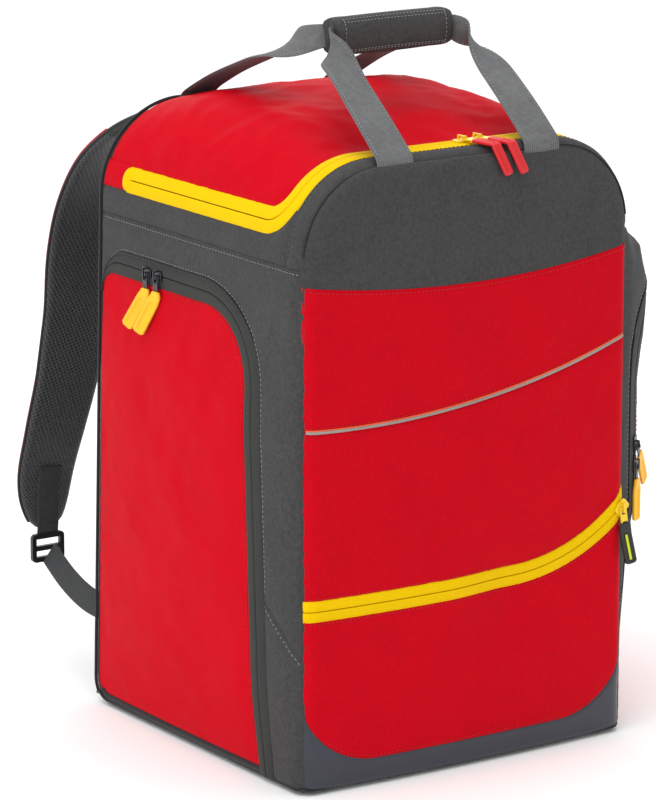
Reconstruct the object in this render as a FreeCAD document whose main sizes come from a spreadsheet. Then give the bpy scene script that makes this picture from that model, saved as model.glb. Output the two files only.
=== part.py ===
import FreeCAD, Part
# Ski boot bag: a tall rucksack with a zipped lid, two zipped side doors and a front pocket.
# Frame: +Z up, origin at the centre of the base, the front panel faces -Y, millimetres.
import math
import os
import Sketcher
from FreeCAD import Placement, Rotation, Vector

os.makedirs("parts", exist_ok=True)
doc = FreeCAD.newDocument("ski_boot_bag")
sheet = doc.addObject("Spreadsheet::Sheet", "Sheet")

DIMENSIONS = {
    # shell
    "half_width": 190,          # half the width of the bag
    "front_face": 184,          # distance from the origin to the front face
    "back_face": 188,           # distance from the origin to the back panel at the base
    "back_lean": 0.042,         # the back panel leans forward this much per mm of height
    "front_height": 598,        # crown of the front arch
    "rear_height": 612,         # crown of the rear arch
    "arch_round": 88,           # corner radius of the arch
    "wall": 4,                  # padded fabric
    "base_thick": 4,
    "back_thick": 5,
    "loft_depth": 390,          # length of the tapering arch solid before the back trims it
    "seam_height": 490,         # grey arch above, red front below
    "gusset_seam": 505,         # side wall below, curved gusset above
    # zips
    "tape_thick": 1.0,
    "coil_proud": 1.2,          # coil above the cloth
    "coil_gap": 0.5,            # half the gap between the two coils
    "coil_edge": 2.7,           # outer edge of a coil from the middle of the zip
    "tape_edge": 11,            # outer edge of the showing tape from the middle of the zip
    "lid_zip_front": 147,       # middle of the lid zip behind the front arch
    "lid_zip_height": 543,      # middle of the lid zip on the sides
    "lid_zip_turn": 30,
    "lid_zip_end": 122,         # rear end of the lid zip
    # side doors
    "door_top": 459,            # middle of the door zip
    "door_front_low": 126,      # middle of the door zip at the bottom, distance ahead of the origin
    "door_front_high": 108,     # the same at the top
    "door_round": 92,
    "door_rear_round": 34,
    "door_bottom": 6,
    "door_back_gap": 2.5,
    "pouch_bulge": 46,          # how far the filled right side stands out
    "pouch_front": 142,         # fullest line of the right side, distance ahead of the origin
    "pouch_low": 225,           # the right side is fullest from this height up
    "pouch_high": 450,
    "pouch_door": 158,          # front run of the right door's zip, distance ahead of the origin
    # front pocket
    "pocket_depth": 24,
    "pocket_wall": 3,
    "skirt_top": 27,
    "skirt_round": 78,
    "pocket_zip_low": 180,      # height of the straight part of the pocket zip
    "pocket_zip_rise": 56,      # rise of the curved part at the right
    "pocket_zip_bend": 50,      # where the curved part starts, distance right of the middle
    "piping_left": 353,
    "piping_right": 404,
    "piping_size": 3,
    # inside
    "board_thick": 3,
    "sleeve_out": 68,           # boot sleeve wall from the middle
    "sleeve_thick": 3,
    "sleeve_top": 474,
    # carrying handle
    "webbing_wide": 38,
    "webbing_thick": 2,
    "leg_out": 84,              # middle of a handle leg from the middle of the bag
    "grip_half": 64,
    "grip_back": 48,            # grip ahead of the origin
    "grip_height": 694,
    "grip_deep": 26,
    "grip_tall": 30,
    "grip_round": 9,
    "grip_gap": 0.4,
    # shoulder straps
    "pad_wide": 70,
    "pad_thick": 13,
    "strap_web_wide": 25,
    "strap_web_thick": 1.8,
    "lock_wide": 38,
    "lock_long": 30,
    "lock_thick": 4.5,
    "back_pad_thick": 10,
    # sliders and pulls
    "slider_long": 16,
    "slider_wide": 11,
    "plate_thick": 1.4,
    "post_thick": 0.5,
    "bail_high": 3.1,
    "bail_wire": 1.6,
    "bail_reach": 5,
    "tab_long": 21,
    "tab_wide": 8,
    "tab_thick": 1.4,
    "tag_long": 45,
    "tag_wide": 10,
    "tag_thick": 3,
}
for row, (alias, size) in enumerate(DIMENSIONS.items(), 1):
    sheet.set(f"A{row}", alias)
    sheet.set(f"B{row}", str(size))
    sheet.setAlias(f"B{row}", alias)
doc.recompute()


def size(alias):
    """A driving dimension, read back from the sheet."""
    return float(sheet.get(alias))


# How a sketch on each origin plane maps to the frame: the role of the plane, the sign of its normal.
PLANES = {"XY": ("XY_Plane", 1), "XZ": ("XZ_Plane", -1), "YZ": ("YZ_Plane", 1)}
subparts = []


def keep(thing, label):
    """Marks an object of the document as a sub-part, named by its label."""
    thing.Label = label
    subparts.append(thing)
    return thing


def polygon_sketch(body, name, plane, corners, start):
    """A closed polygon whose corners are pairs of expressions, on a plane at the distance start."""
    role, sign = PLANES[plane]
    sketch = body.newObject("Sketcher::SketchObject", name)
    origin_plane = [f for f in body.Origin.OriginFeatures if f.Role == role][0]
    sketch.AttachmentSupport = [(origin_plane, "")]
    sketch.MapMode = "FlatFace"
    sketch.setExpression("AttachmentOffset.Base.z", start if sign > 0 else f"-({start})")
    count = len(corners)
    spots = [Vector(10 * math.cos(6.283 * i / count), 10 * math.sin(6.283 * i / count), 0) for i in range(count)]
    for i in range(count):
        sketch.addGeometry(Part.LineSegment(spots[i], spots[(i + 1) % count]), False)
    for i in range(count):
        sketch.addConstraint(Sketcher.Constraint("Coincident", i, 2, (i + 1) % count, 1))
    for i, (across, up) in enumerate(corners):
        for kind, formula in (("DistanceX", across), ("DistanceY", up)):
            index = sketch.addConstraint(Sketcher.Constraint(kind, -1, 1, i, 1, 1.0 + i))
            sketch.setExpression(f"Constraints[{index}]", formula)
    return sketch


def plate(name, plane, corners, start, thick, rounds=()):
    """A body padded from a polygon; rounds are (corner numbers, radius expression)."""
    body = doc.addObject("PartDesign::Body", name)
    sketch = polygon_sketch(body, name + "_outline", plane, corners, start)
    pad = body.newObject("PartDesign::Pad", name + "_pad")
    pad.Profile = sketch
    pad.setExpression("Length", thick)
    pad.Reversed = PLANES[plane][1] < 0
    doc.recompute()
    normal = sketch.Placement.Rotation.multVec(Vector(0, 0, 1))
    spots = [sketch.Placement.multVec(sketch.Geometry[i].StartPoint) for i in range(len(corners))]
    tip = pad
    for number, (which, radius) in enumerate(rounds):
        names = []
        for index, edge in enumerate(tip.Shape.Edges, 1):
            ends = [v.Point for v in edge.Vertexes]
            if len(ends) == 2 and abs((ends[1] - ends[0]).normalize().dot(normal)) > 0.999:
                middle = (ends[0] + ends[1]) * 0.5
                for i in which:
                    away = middle - spots[i]
                    if (away - normal * away.dot(normal)).Length < 0.05:
                        names.append(f"Edge{index}")
        fillet = body.newObject("PartDesign::Fillet", f"{name}_round{number}")
        fillet.Base = (tip, names)
        fillet.setExpression("Radius", radius)
        doc.recompute()
        tip = fillet
    body.Tip = tip
    return body


def slab(name, low, high, label=None):
    """A Part::Box between two corners given as expressions."""
    box = doc.addObject("Part::Box", name)
    for axis, prop, a, b in zip("xyz", ("Length", "Width", "Height"), low, high):
        box.setExpression(prop, f"({b}) - ({a})")
        box.setExpression(f"Placement.Base.{axis}", a)
    return keep(box, label) if label else box


def cut(name, base, tool, label=None):
    made = doc.addObject("Part::Cut", name)
    made.Base, made.Tool = base, tool
    return keep(made, label) if label else made


def common(name, base, tool, label=None):
    made = doc.addObject("Part::Common", name)
    made.Base, made.Tool = base, tool
    return keep(made, label) if label else made


def group(name, members, label):
    made = doc.addObject("Part::Compound", name)
    made.Links = members
    return keep(made, label)


def union(name, members, label=None):
    made = doc.addObject("Part::MultiFuse", name)
    made.Shapes = members
    return keep(made, label) if label else made


def feature(name, shape, label=None):
    made = doc.addObject("Part::Feature", name)
    made.Shape = shape
    return keep(made, label) if label else made


# ---------------------------------------------------------------- the shell's guiding solids

def arch_sketch(body, name, start, crown, proud):
    """A flat-bottomed arch with two round shoulders, standing at the distance start ahead of the XZ plane."""
    half, low, top = size("half_width"), size("base_thick"), size(crown)
    radius = size("arch_round")
    near, shoulder = half - radius, top - radius
    sketch = body.newObject("Sketcher::SketchObject", name)
    sketch.AttachmentSupport = [([f for f in body.Origin.OriginFeatures if f.Role == "XZ_Plane"][0], "")]
    sketch.MapMode = "FlatFace"
    sketch.setExpression("AttachmentOffset.Base.z", f"-({start})")
    points = [Vector(-half, low, 0), Vector(half, low, 0), Vector(half, shoulder, 0), Vector(near, top, 0),
              Vector(-near, top, 0), Vector(-half, shoulder, 0)]
    circles = [Part.Circle(Vector(s * near, shoulder, 0), Vector(0, 0, 1), radius) for s in (1, -1)]
    shapes = [Part.LineSegment(points[0], points[1]), Part.LineSegment(points[1], points[2]),
              Part.ArcOfCircle(circles[0], 0, math.pi / 2), Part.LineSegment(points[3], points[4]),
              Part.ArcOfCircle(circles[1], math.pi / 2, math.pi), Part.LineSegment(points[5], points[0])]
    for shape in shapes:
        sketch.addGeometry(shape, False)
    for i in range(6):
        sketch.addConstraint(Sketcher.Constraint("Coincident", i, 2, (i + 1) % 6, 1))
    wide, high = f"(Sheet.half_width + {proud})", f"(Sheet.{crown} - Sheet.arch_round)"
    inside = "(Sheet.half_width - Sheet.arch_round)"
    fixes = [
        (0, 1, f"-{wide}", "Sheet.base_thick"), (1, 1, wide, "Sheet.base_thick"),
        (1, 2, wide, high), (5, 1, f"-{wide}", high),
        (3, 1, inside, None), (3, 2, f"-{inside}", None),
        (2, 3, inside, high), (4, 3, f"-{inside}", high),
    ]
    for shape, end, across, up in fixes:
        for kind, formula in (("DistanceX", across), ("DistanceY", up)):
            if formula:
                point = sketch.getPoint(shape, end)
                now = point.x if kind == "DistanceX" else point.y
                index = sketch.addConstraint(Sketcher.Constraint(kind, -1, 1, shape, end, now))
                sketch.setExpression(f"Constraints[{index}]", formula)
    return sketch


def arch_solid(name, proud):
    """The bag's outer form, swollen by proud: an arch lofted from the front to a taller one at the rear."""
    body = doc.addObject("PartDesign::Body", name)
    ends = (("front", "-Sheet.front_face + Sheet.wall", "front_height"),
            ("rear", "-Sheet.front_face + Sheet.wall + Sheet.loft_depth", "rear_height"))
    sections = [arch_sketch(body, f"{name}_{end}", start, crown, proud) for end, start, crown in ends]
    loft = body.newObject("PartDesign::AdditiveLoft", name + "_loft")
    loft.Profile = sections[0]
    loft.Sections = [sections[1]]
    loft.Ruled = True
    body.Tip = loft
    doc.recompute()
    return body


lean_angle = math.degrees(math.atan(size("back_lean")))


def behind(name, distance):
    """A large block behind the back panel's front face, moved back by distance."""
    block = doc.addObject("Part::Box", name)
    block.Length, block.Width, block.Height = 600, 200, 900
    block.Placement = Placement(Vector(-300, size("back_face") + distance, 0), Rotation(Vector(1, 0, 0), lean_angle))
    return block


rear_cutter = behind("rear_cutter", 0)
forms = {}
for key, proud in (("coil", "Sheet.coil_proud"), ("skin", "0"), ("tape", "-Sheet.tape_thick"), ("inner", "-Sheet.wall")):
    forms[key] = cut(f"form_{key}", arch_solid(f"arch_{key}", proud), rear_cutter)
wall_ring = cut("wall_ring", forms["skin"], forms["inner"])
tape_ring = cut("tape_ring", forms["skin"], forms["tape"])
coil_ring = cut("coil_ring", forms["coil"], forms["tape"])

# ---------------------------------------------------------------- lid, gussets and the lid zip

def lid_region(name, inset):
    """Everything above and behind the lid's edge, moved in by inset."""
    front = f"-Sheet.lid_zip_front + {inset}"
    low = f"Sheet.lid_zip_height + {inset}"
    return plate(name, "YZ", [(front, "900"), (front, low), ("300", low), ("300", "900")], "-300", "600",
                 [((1,), f"Sheet.lid_zip_turn - ({inset})")])


lid_edge = lid_region("lid_edge", "Sheet.tape_edge")
lid_coil = lid_region("lid_coil", "Sheet.coil_edge")
lid_gap = lid_region("lid_gap", "Sheet.coil_gap")
rim_gap = lid_region("rim_gap", "-Sheet.coil_gap")
rim_coil = lid_region("rim_coil", "-Sheet.coil_edge")
rim_edge = lid_region("rim_edge", "-Sheet.tape_edge")
rear_zone = slab("rear_zone", ("-300", "Sheet.lid_zip_end", "0"), ("300", "400", "Sheet.lid_zip_height + 14"))
ahead_of_end = slab("ahead_of_end", ("-300", "-400", "0"), ("300", "Sheet.lid_zip_end", "900"))

lid_whole = common("lid_whole", wall_ring, lid_edge)
lid_panel = cut("lid_cut", lid_whole, rear_zone, "lid_panel")

moving_tape = common("moving_tape", common("moving_tape_a", tape_ring, cut("moving_band", lid_gap, lid_edge)), ahead_of_end)
moving_coil = common("moving_coil", common("moving_coil_a", coil_ring, cut("moving_coil_band", lid_gap, lid_coil)), ahead_of_end)
union("lid_zip_upper_made", [moving_tape, moving_coil], "lid_zip_upper_half")
fixed_tape = common("fixed_tape", common("fixed_tape_a", tape_ring, cut("fixed_band", rim_edge, rim_gap)), ahead_of_end)
fixed_coil = common("fixed_coil", common("fixed_coil_a", coil_ring, cut("fixed_coil_band", rim_coil, rim_gap)), ahead_of_end)
union("lid_zip_lower_made", [fixed_tape, fixed_coil], "lid_zip_lower_half")

above_seam = slab("above_seam", ("-300", "-400", "Sheet.gusset_seam"), ("300", "400", "900"))
upper_ring = cut("upper_ring", common("upper_ring_a", wall_ring, above_seam), rim_edge)
band_zone = slab("band_zone", ("-300", "-400", "0"), ("300", "-Sheet.lid_zip_front - Sheet.tape_edge", "900"))
common("band_made", upper_ring, band_zone, "front_top_band")
side_ring = cut("side_ring", upper_ring, band_zone)
for side, low, high in (("left", "-300", "0"), ("right", "0", "300")):
    half_space = slab(f"{side}_half", (low, "-400", "0"), (high, "400", "900"))
    common(f"{side}_top_made", side_ring, half_space, f"{side}_top_gusset")
    corner_zone = slab(f"{side}_corner_zone", (low, "Sheet.lid_zip_end", "Sheet.lid_zip_height - Sheet.tape_edge"),
                       (high, "400", "Sheet.lid_zip_height + 14"))
    common(f"{side}_rear_made", wall_ring, corner_zone, f"{side}_rear_corner")

# ---------------------------------------------------------------- side walls and doors

def rear_edge(height, gap="Sheet.door_back_gap"):
    """How far back the back panel's front face is at a height, less a gap."""
    return f"Sheet.back_face - {gap} - Sheet.back_lean * ({height})"


def door_region(name, inset, front_low, front_high):
    """The door's outline on the side of the bag, moved in by inset: a rounded panel that reaches the rear edge.
    What moves with the door stops a little above the sill."""
    top, low = f"Sheet.door_top - ({inset})", "Sheet.door_bottom" + ("" if inset.startswith("-") else " + 0.3")
    return plate(name, "YZ", [
        (f"-Sheet.{front_low} + ({inset})", low),
        (rear_edge(low), low),
        (rear_edge(top), top),
        (f"-Sheet.{front_high} + ({inset})", top),
    ], "-300", "600", [((3,), f"Sheet.door_round - ({inset})"), ((2,), f"Sheet.door_rear_round - ({inset})")])


def pouch(name, proud):
    """The filled right side as a solid: plan outlines that swell from the base and close again under the gusset seam."""
    body = doc.addObject("PartDesign::Body", name)
    sections = []
    for number, (height, share) in enumerate((("Sheet.base_thick", 0), ("80", 0.08), ("Sheet.pouch_low", 1),
                                              ("Sheet.pouch_high", 1), ("Sheet.gusset_seam", 0))):
        edge = f"Sheet.half_width + {proud}"
        sections.append(polygon_sketch(body, f"{name}_{number}", "XY", [
            ("150", "-Sheet.front_face + Sheet.wall"),
            (edge, "-Sheet.front_face + Sheet.wall"),
            (f"{edge} + {share} * Sheet.pouch_bulge", "-Sheet.pouch_front"),
            (f"{edge} + {0.9 * share} * Sheet.pouch_bulge", "60"),
            (edge, "158"),
            (edge, "205"),
            ("150", "205"),
        ], height))
    loft = body.newObject("PartDesign::AdditiveLoft", name + "_loft")
    loft.Profile = sections[0]
    loft.Sections = sections[1:]
    loft.Ruled = True
    body.Tip = loft
    doc.recompute()
    return body


def flat_side(name, proud):
    """The left side as a solid with a flat outer face."""
    return slab(name, (f"-Sheet.half_width - ({proud})", "-Sheet.front_face + Sheet.wall", "Sheet.base_thick"),
                ("-150", "205", "Sheet.gusset_seam"))


# The corner patch covers the foot of the wall ahead of the door, under a slanting seam.
patch_region = plate("patch_region", "YZ", [
    ("-Sheet.front_face", "0"), ("-80", "0"), ("-80", "228"), ("-Sheet.front_face", "132")], "-300", "600")

def frame_at(place, travel, out):
    """The placement that lays X along the travel and turns Z outwards."""
    side_way = out.cross(travel)
    matrix = FreeCAD.Matrix(travel.x, side_way.x, out.x, place.x, travel.y, side_way.y, out.y, place.y,
                            travel.z, side_way.z, out.z, place.z, 0, 0, 0, 1)
    return Placement(matrix)


# The right door's zip runs on the slanted front of the bulge; its sliders' posts travel in a slot square to that skin.
pouch_run = size("front_face") - size("wall") - size("pouch_front")
pouch_out = Vector(pouch_run, -size("pouch_bulge"), 0).normalize()
pouch_x = size("half_width") + size("pouch_bulge") * (size("front_face") - size("wall") - size("pouch_door")) / pouch_run
post_slot = plate("post_slot", "XY", [("-90", "-0.55"), ("90", "-0.55"), ("90", "0.55"), ("-90", "0.55")], "-2.2", "4")
post_slot.Placement = frame_at(Vector(pouch_x, -size("pouch_door"), 272), Vector(0, 0, -1), pouch_out)

# Each door zip ends at the rear corner, where its two halves would taper away against the hinge edge.
zip_end = slab("zip_end", ("-300", "100", "0"), ("300", "400", "Sheet.door_top - 14"))
for side, solid, front_low, front_high in (("left", flat_side, "door_front_low", "door_front_high"),
                                           ("right", pouch, "pouch_door", "pouch_door")):
    def edge_at(name, inset):
        return door_region(f"{side}_outline_{name}", inset, front_low, front_high)

    def layer(name, outer, inner):
        """The side wall between two depths, measured out from the skin."""
        made = cut(f"{side}_{name}", solid(f"{side}_{name}_outer", outer), solid(f"{side}_{name}_inner", inner))
        return cut(f"{side}_{name}_cut", made, rear_cutter)

    panel, frame_edge = edge_at("panel", "Sheet.tape_edge"), edge_at("frame", "-Sheet.tape_edge")
    moving, fixed = edge_at("moving", "Sheet.coil_gap"), edge_at("fixed", "-Sheet.coil_gap")

    def strip(name, outer, inner):
        return cut(f"{side}_{name}_strip", cut(f"{side}_{name}_whole", outer, inner), zip_end)

    moving_strip = strip("moving", moving, panel)
    moving_coil_strip = strip("moving_coil", moving, edge_at("moving_coil", "Sheet.coil_edge"))
    fixed_strip = strip("fixed", frame_edge, fixed)
    fixed_coil_strip = strip("fixed_coil", edge_at("fixed_coil", "-Sheet.coil_edge"), fixed)
    wall = layer("wall", "0", "-Sheet.wall")
    tape = layer("tape", "0", "-Sheet.tape_thick")
    coil = layer("coil", "Sheet.coil_proud", "-Sheet.tape_thick")
    frame = cut(f"{side}_frame", wall, frame_edge)
    cut(f"{side}_gusset_made", frame, patch_region, f"{side}_front_gusset")
    common(f"{side}_patch_made", frame, patch_region, f"{side}_corner_patch")
    common(f"{side}_door_made", wall, panel, f"{side}_door_panel")
    inner_half = union(f"{side}_moving_zip",
                       [common(f"{side}_mt", tape, moving_strip), common(f"{side}_mc", coil, moving_coil_strip)])
    outer_half = union(f"{side}_fixed_zip",
                       [common(f"{side}_ft", tape, fixed_strip), common(f"{side}_fc", coil, fixed_coil_strip)])
    for half, which in ((inner_half, "inner"), (outer_half, "outer")):
        if side == "left":
            keep(half, f"left_door_zip_{which}_half")
        else:
            cut(f"right_{which}_zip_slotted", half, post_slot, f"right_door_zip_{which}_half")

# ---------------------------------------------------------------- base, back and inside

base_corners = [("-Sheet.half_width", "-Sheet.front_face"), ("Sheet.half_width", "-Sheet.front_face"),
                ("Sheet.half_width", "Sheet.back_face + Sheet.back_thick"),
                ("-Sheet.half_width", "Sheet.back_face + Sheet.back_thick")]
keep(plate("base", "XY", base_corners, "0", "Sheet.base_thick"), "base_panel")
sill = slab("sill", ("-180", "-Sheet.front_face + Sheet.pocket_depth + 8", "Sheet.base_thick + 0.3"),
            ("180", "Sheet.back_face - 6", "Sheet.base_thick + 0.3 + Sheet.board_thick"))
keep(sill, "base_board")

back = plate("back", "XZ", [
    ("-Sheet.half_width", "Sheet.base_thick + 0.2"), ("Sheet.half_width", "Sheet.base_thick + 0.2"),
    ("Sheet.half_width", "Sheet.rear_height - 1"), ("-Sheet.half_width", "Sheet.rear_height - 1")],
    "0", "Sheet.back_thick", [((2, 3), "Sheet.arch_round")])
back.Placement = Placement(Vector(0, size("back_face") + 0.02, 0), Rotation(Vector(1, 0, 0), lean_angle))
keep(back, "back_panel")

padding = plate("padding", "XZ", [("-150", "70"), ("150", "70"), ("150", "520"), ("-150", "520")],
                "0", "Sheet.back_pad_thick", [((0, 1, 2, 3), "40")])
padding.Placement = Placement(Vector(0, size("back_face") + size("back_thick") + 0.2, 0),
                              Rotation(Vector(1, 0, 0), lean_angle))
keep(padding, "back_padding")


def arch_path(half, crown, radius, low):
    """An arch in the XZ plane: up one side, over the top and down the other."""
    left, right = Vector(-half, 0, low), Vector(half, 0, low)
    bend = radius * (1 - math.sqrt(0.5))
    shoulder = crown - radius
    edges = [
        Part.LineSegment(left, Vector(-half, 0, shoulder)).toShape(),
        Part.Arc(Vector(-half, 0, shoulder), Vector(-half + bend, 0, crown - bend), Vector(-half + radius, 0, crown)).toShape(),
        Part.LineSegment(Vector(-half + radius, 0, crown), Vector(half - radius, 0, crown)).toShape(),
        Part.Arc(Vector(half - radius, 0, crown), Vector(half - bend, 0, crown - bend), Vector(half, 0, shoulder)).toShape(),
        Part.LineSegment(Vector(half, 0, shoulder), right).toShape(),
    ]
    return Part.Wire(edges)


def tube(path, radius, start, direction):
    """A round cord swept along a wire."""
    ring = Part.Wire(Part.Circle(start, direction, radius).toShape())
    return path.makePipeShell([ring], True, False, 1)


binding_radius = 2.2
binding_path = arch_path(size("half_width") + binding_radius + 0.1, size("rear_height") - 1 + binding_radius + 0.1,
                         size("arch_round") + binding_radius, 8)
binding = feature("binding", tube(binding_path, binding_radius, binding_path.Vertexes[0].Point, Vector(0, 0, 1)))
binding.Placement = Placement(Vector(0, size("back_face") + 2.6, 0), Rotation(Vector(1, 0, 0), lean_angle))
keep(binding, "back_piping")

keep(plate("pocket_back", "XZ", [
    ("-Sheet.half_width + Sheet.wall + 0.3", "Sheet.base_thick + 0.3"), ("Sheet.half_width - Sheet.wall - 0.3", "Sheet.base_thick + 0.3"),
    ("Sheet.half_width - Sheet.wall - 0.3", "Sheet.seam_height"), ("-Sheet.half_width + Sheet.wall + 0.3", "Sheet.seam_height")],
    "-Sheet.front_face + Sheet.wall + Sheet.pocket_depth", "Sheet.pocket_wall"), "front_pocket_wall")

sleeve_front = "-Sheet.front_face + Sheet.wall + Sheet.pocket_depth + Sheet.pocket_wall + 0.4"
sleeve_floor = "Sheet.base_thick + 0.3 + Sheet.board_thick + 0.3"
for side, sign in (("left", -1), ("right", 1)):
    corners = [(f"{sign} * Sheet.sleeve_out", sleeve_floor),
               (f"{sign} * (Sheet.sleeve_out + Sheet.sleeve_thick)", sleeve_floor),
               (f"{sign} * (Sheet.sleeve_out + Sheet.sleeve_thick)", "Sheet.sleeve_top - Sheet.sleeve_thick"),
               (f"{sign} * (Sheet.half_width - Sheet.wall - 0.3)", "Sheet.sleeve_top - Sheet.sleeve_thick"),
               (f"{sign} * (Sheet.half_width - Sheet.wall - 0.3)", "Sheet.sleeve_top"),
               (f"{sign} * Sheet.sleeve_out", "Sheet.sleeve_top")]
    lining = plate(f"{side}_lining", "XZ", corners if sign > 0 else corners[::-1], sleeve_front, "360")
    cut(f"{side}_sleeve_made", lining, behind(f"{side}_sleeve_back", -0.4), f"{side}_boot_sleeve")

# ---------------------------------------------------------------- front panels and the pocket zip

face = plate("front_face_slab", "XZ", [
    ("-Sheet.half_width", "Sheet.base_thick"), ("Sheet.half_width", "Sheet.base_thick"),
    ("Sheet.half_width", "Sheet.front_height"), ("-Sheet.half_width", "Sheet.front_height")],
    "-Sheet.front_face", "Sheet.wall", [((2, 3), "Sheet.arch_round")])
grey_zone = slab("grey_zone", ("-300", "-300", "Sheet.seam_height"), ("300", "0", "900"))
common("grey_made", face, grey_zone, "front_top_panel")
red_face = cut("red_face", face, grey_zone)

skirt_window = plate("skirt_window", "XZ", [
    ("-Sheet.half_width - 5", "Sheet.skirt_top"), ("Sheet.half_width + 5", "Sheet.skirt_top"),
    ("Sheet.half_width + 5", "700"), ("-Sheet.half_width - 5", "700")],
    "-300", "300", [((0, 1), "Sheet.skirt_round + 5")])
cut("skirt_made", red_face, skirt_window, "front_skirt")
red_upper = common("red_upper", red_face, skirt_window)

# The pocket zip runs level from the left, then turns up along one arc to the right edge.
zip_level = size("pocket_zip_low")
zip_bend = size("pocket_zip_bend")
zip_run = size("half_width") - zip_bend
zip_radius = (zip_run ** 2 + size("pocket_zip_rise") ** 2) / (2 * size("pocket_zip_rise"))
zip_centre = Vector(zip_bend, 0, zip_level + zip_radius)
zip_angle = math.asin(zip_run / zip_radius)


def zip_edges(offset, y):
    """The pocket zip's line moved up by offset: a straight run and its arc, drawn past both sides of the bag."""
    radius = zip_radius - offset
    low = Vector(zip_bend, y, zip_centre.z - radius)
    points = [Vector(zip_bend + radius * math.sin(a), y, zip_centre.z - radius * math.cos(a))
              for a in (zip_angle * 0.55, zip_angle * 1.1)]
    return [Part.LineSegment(Vector(-size("half_width") - 5, y, low.z), low).toShape(),
            Part.Arc(low, points[0], points[1]).toShape()]


def zip_band(low, high, y, deep):
    """A solid between two offsets of the pocket zip's line."""
    under, over = zip_edges(low, y), zip_edges(high, y)
    first = Part.LineSegment(under[0].Vertexes[0].Point, over[0].Vertexes[0].Point).toShape()
    last = Part.LineSegment(under[-1].Vertexes[-1].Point, over[-1].Vertexes[-1].Point).toShape()
    wire = Part.Wire(Part.__sortEdges__([first, *under, last, *over]))
    return Part.Face(wire).extrude(Vector(0, deep, 0))


front = -size("front_face")
show = size("tape_edge")
below_zip = feature("below_zip", zip_band(-600, -show, -300, 300))
zip_zone = feature("zip_zone", zip_band(-show, show, -300, 300))
width_zone = slab("width_zone", ("-Sheet.half_width", "-300", "0"), ("Sheet.half_width", "0", "900"))
common("lower_made", red_upper, below_zip, "front_lower_panel")
over_zip = cut("over_zip", cut("over_zip_a", red_upper, below_zip), zip_zone)

piping_radius = size("piping_size") / 2
left_end = Vector(-size("half_width") - 5, 0, size("piping_left"))
right_end = Vector(size("half_width") + 5, 0, size("piping_right"))
middle_point = Vector(30, 0, size("piping_left") + 12)


def piping_band(offset_low, offset_high):
    """The front panel between two heights measured from the piping's curve."""
    def lift(point, rise):
        return Vector(point.x, -300, point.z + rise)

    curves = [Part.Arc(lift(left_end, rise), lift(middle_point, rise), lift(right_end, rise)).toShape()
              for rise in (offset_low, offset_high)]
    sides = [Part.LineSegment(lift(p, offset_low), lift(p, offset_high)).toShape() for p in (left_end, right_end)]
    wire = Part.Wire(Part.__sortEdges__([sides[0], curves[0], sides[1], curves[1]]))
    return Part.Face(wire).extrude(Vector(0, 300, 0))


below_piping = feature("below_piping", piping_band(-500, 0))
common("middle_made", over_zip, below_piping, "front_middle_panel")
cut("upper_made", over_zip, below_piping, "front_upper_panel")
cord_y = front - piping_radius
cord_line = Part.Wire(Part.Arc(Vector(left_end.x + 6, cord_y, left_end.z), Vector(middle_point.x, cord_y, middle_point.z),
                               Vector(right_end.x - 6, cord_y, right_end.z)).toShape())
cord_start = cord_line.Vertexes[0].Point
feature("front_cord", tube(cord_line, piping_radius, cord_start, cord_line.Edges[0].tangentAt(cord_line.Edges[0].FirstParameter)),
        "reflective_piping")

tape_deep, proud = size("tape_thick"), size("coil_proud")
gap, edge = size("coil_gap"), size("coil_edge")
halves = []
for name, inner, outer, coil_outer in (("lower", -gap, -show, -edge), ("upper", gap, show, edge)):
    tape_solid = feature(f"pocket_tape_{name}", zip_band(min(inner, outer), max(inner, outer), front, tape_deep))
    coil_solid = feature(f"pocket_coil_{name}", zip_band(min(inner, coil_outer), max(inner, coil_outer), front - proud, tape_deep + proud))
    halves.append(common(f"pocket_half_{name}", union(f"pocket_join_{name}", [tape_solid, coil_solid]), width_zone))
group("pocket_zip", halves, "front_pocket_zip")

# ---------------------------------------------------------------- carrying handle

rear_anchor_y = size("back_face") - size("back_lean") * size("rear_height") - 1
grip_y, grip_z = -size("grip_back"), size("grip_height")
web, web_thick = size("webbing_wide"), size("webbing_thick")


def ribbon(points, widths, thick, width_way=Vector(1, 0, 0)):
    """A flat strap lofted through rectangles that stand square to its line."""
    line = [Vector(*p) for p in points]
    sections = []
    for i, here in enumerate(line):
        ahead = (line[min(i + 1, len(line) - 1)] - line[max(i - 1, 0)]).normalize()
        side_way = (width_way - ahead * width_way.dot(ahead)).normalize()
        out = side_way.cross(ahead).normalize()
        w, h = widths[i] / 2, thick / 2
        corners = [here + side_way * a * w + out * b * h for a, b in ((-1, -1), (1, -1), (1, 1), (-1, 1))]
        sections.append(Part.makePolygon(corners + corners[:1]))
    return Part.makeLoft(sections, True, True)


def handle_loop(anchor, core_y):
    """Two sloping legs that draw in towards the grip, joined by the flat webbing that runs through it."""
    narrow = size("grip_half") + 12
    legs = []
    for sign in (-1, 1):
        top = (sign * narrow, core_y, grip_z)
        legs.append(ribbon([(sign * size("leg_out"), anchor.y, anchor.z), top], [web, 20], web_thick))
    core = Part.makeBox(2 * narrow, web_thick, 20, Vector(-narrow, core_y - web_thick / 2, grip_z - 10))
    return legs[0].fuse([legs[1], core]).removeSplitter()


front_anchor = Vector(0, front + 1, size("front_height") + 1.8)
rear_anchor = Vector(0, rear_anchor_y - 5, size("rear_height") + 2.6)
core_step = 6
feature("front_loop_made", handle_loop(front_anchor, grip_y - core_step), "front_handle_webbing")
feature("rear_loop_made", handle_loop(rear_anchor, grip_y + core_step), "rear_handle_webbing")

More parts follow.
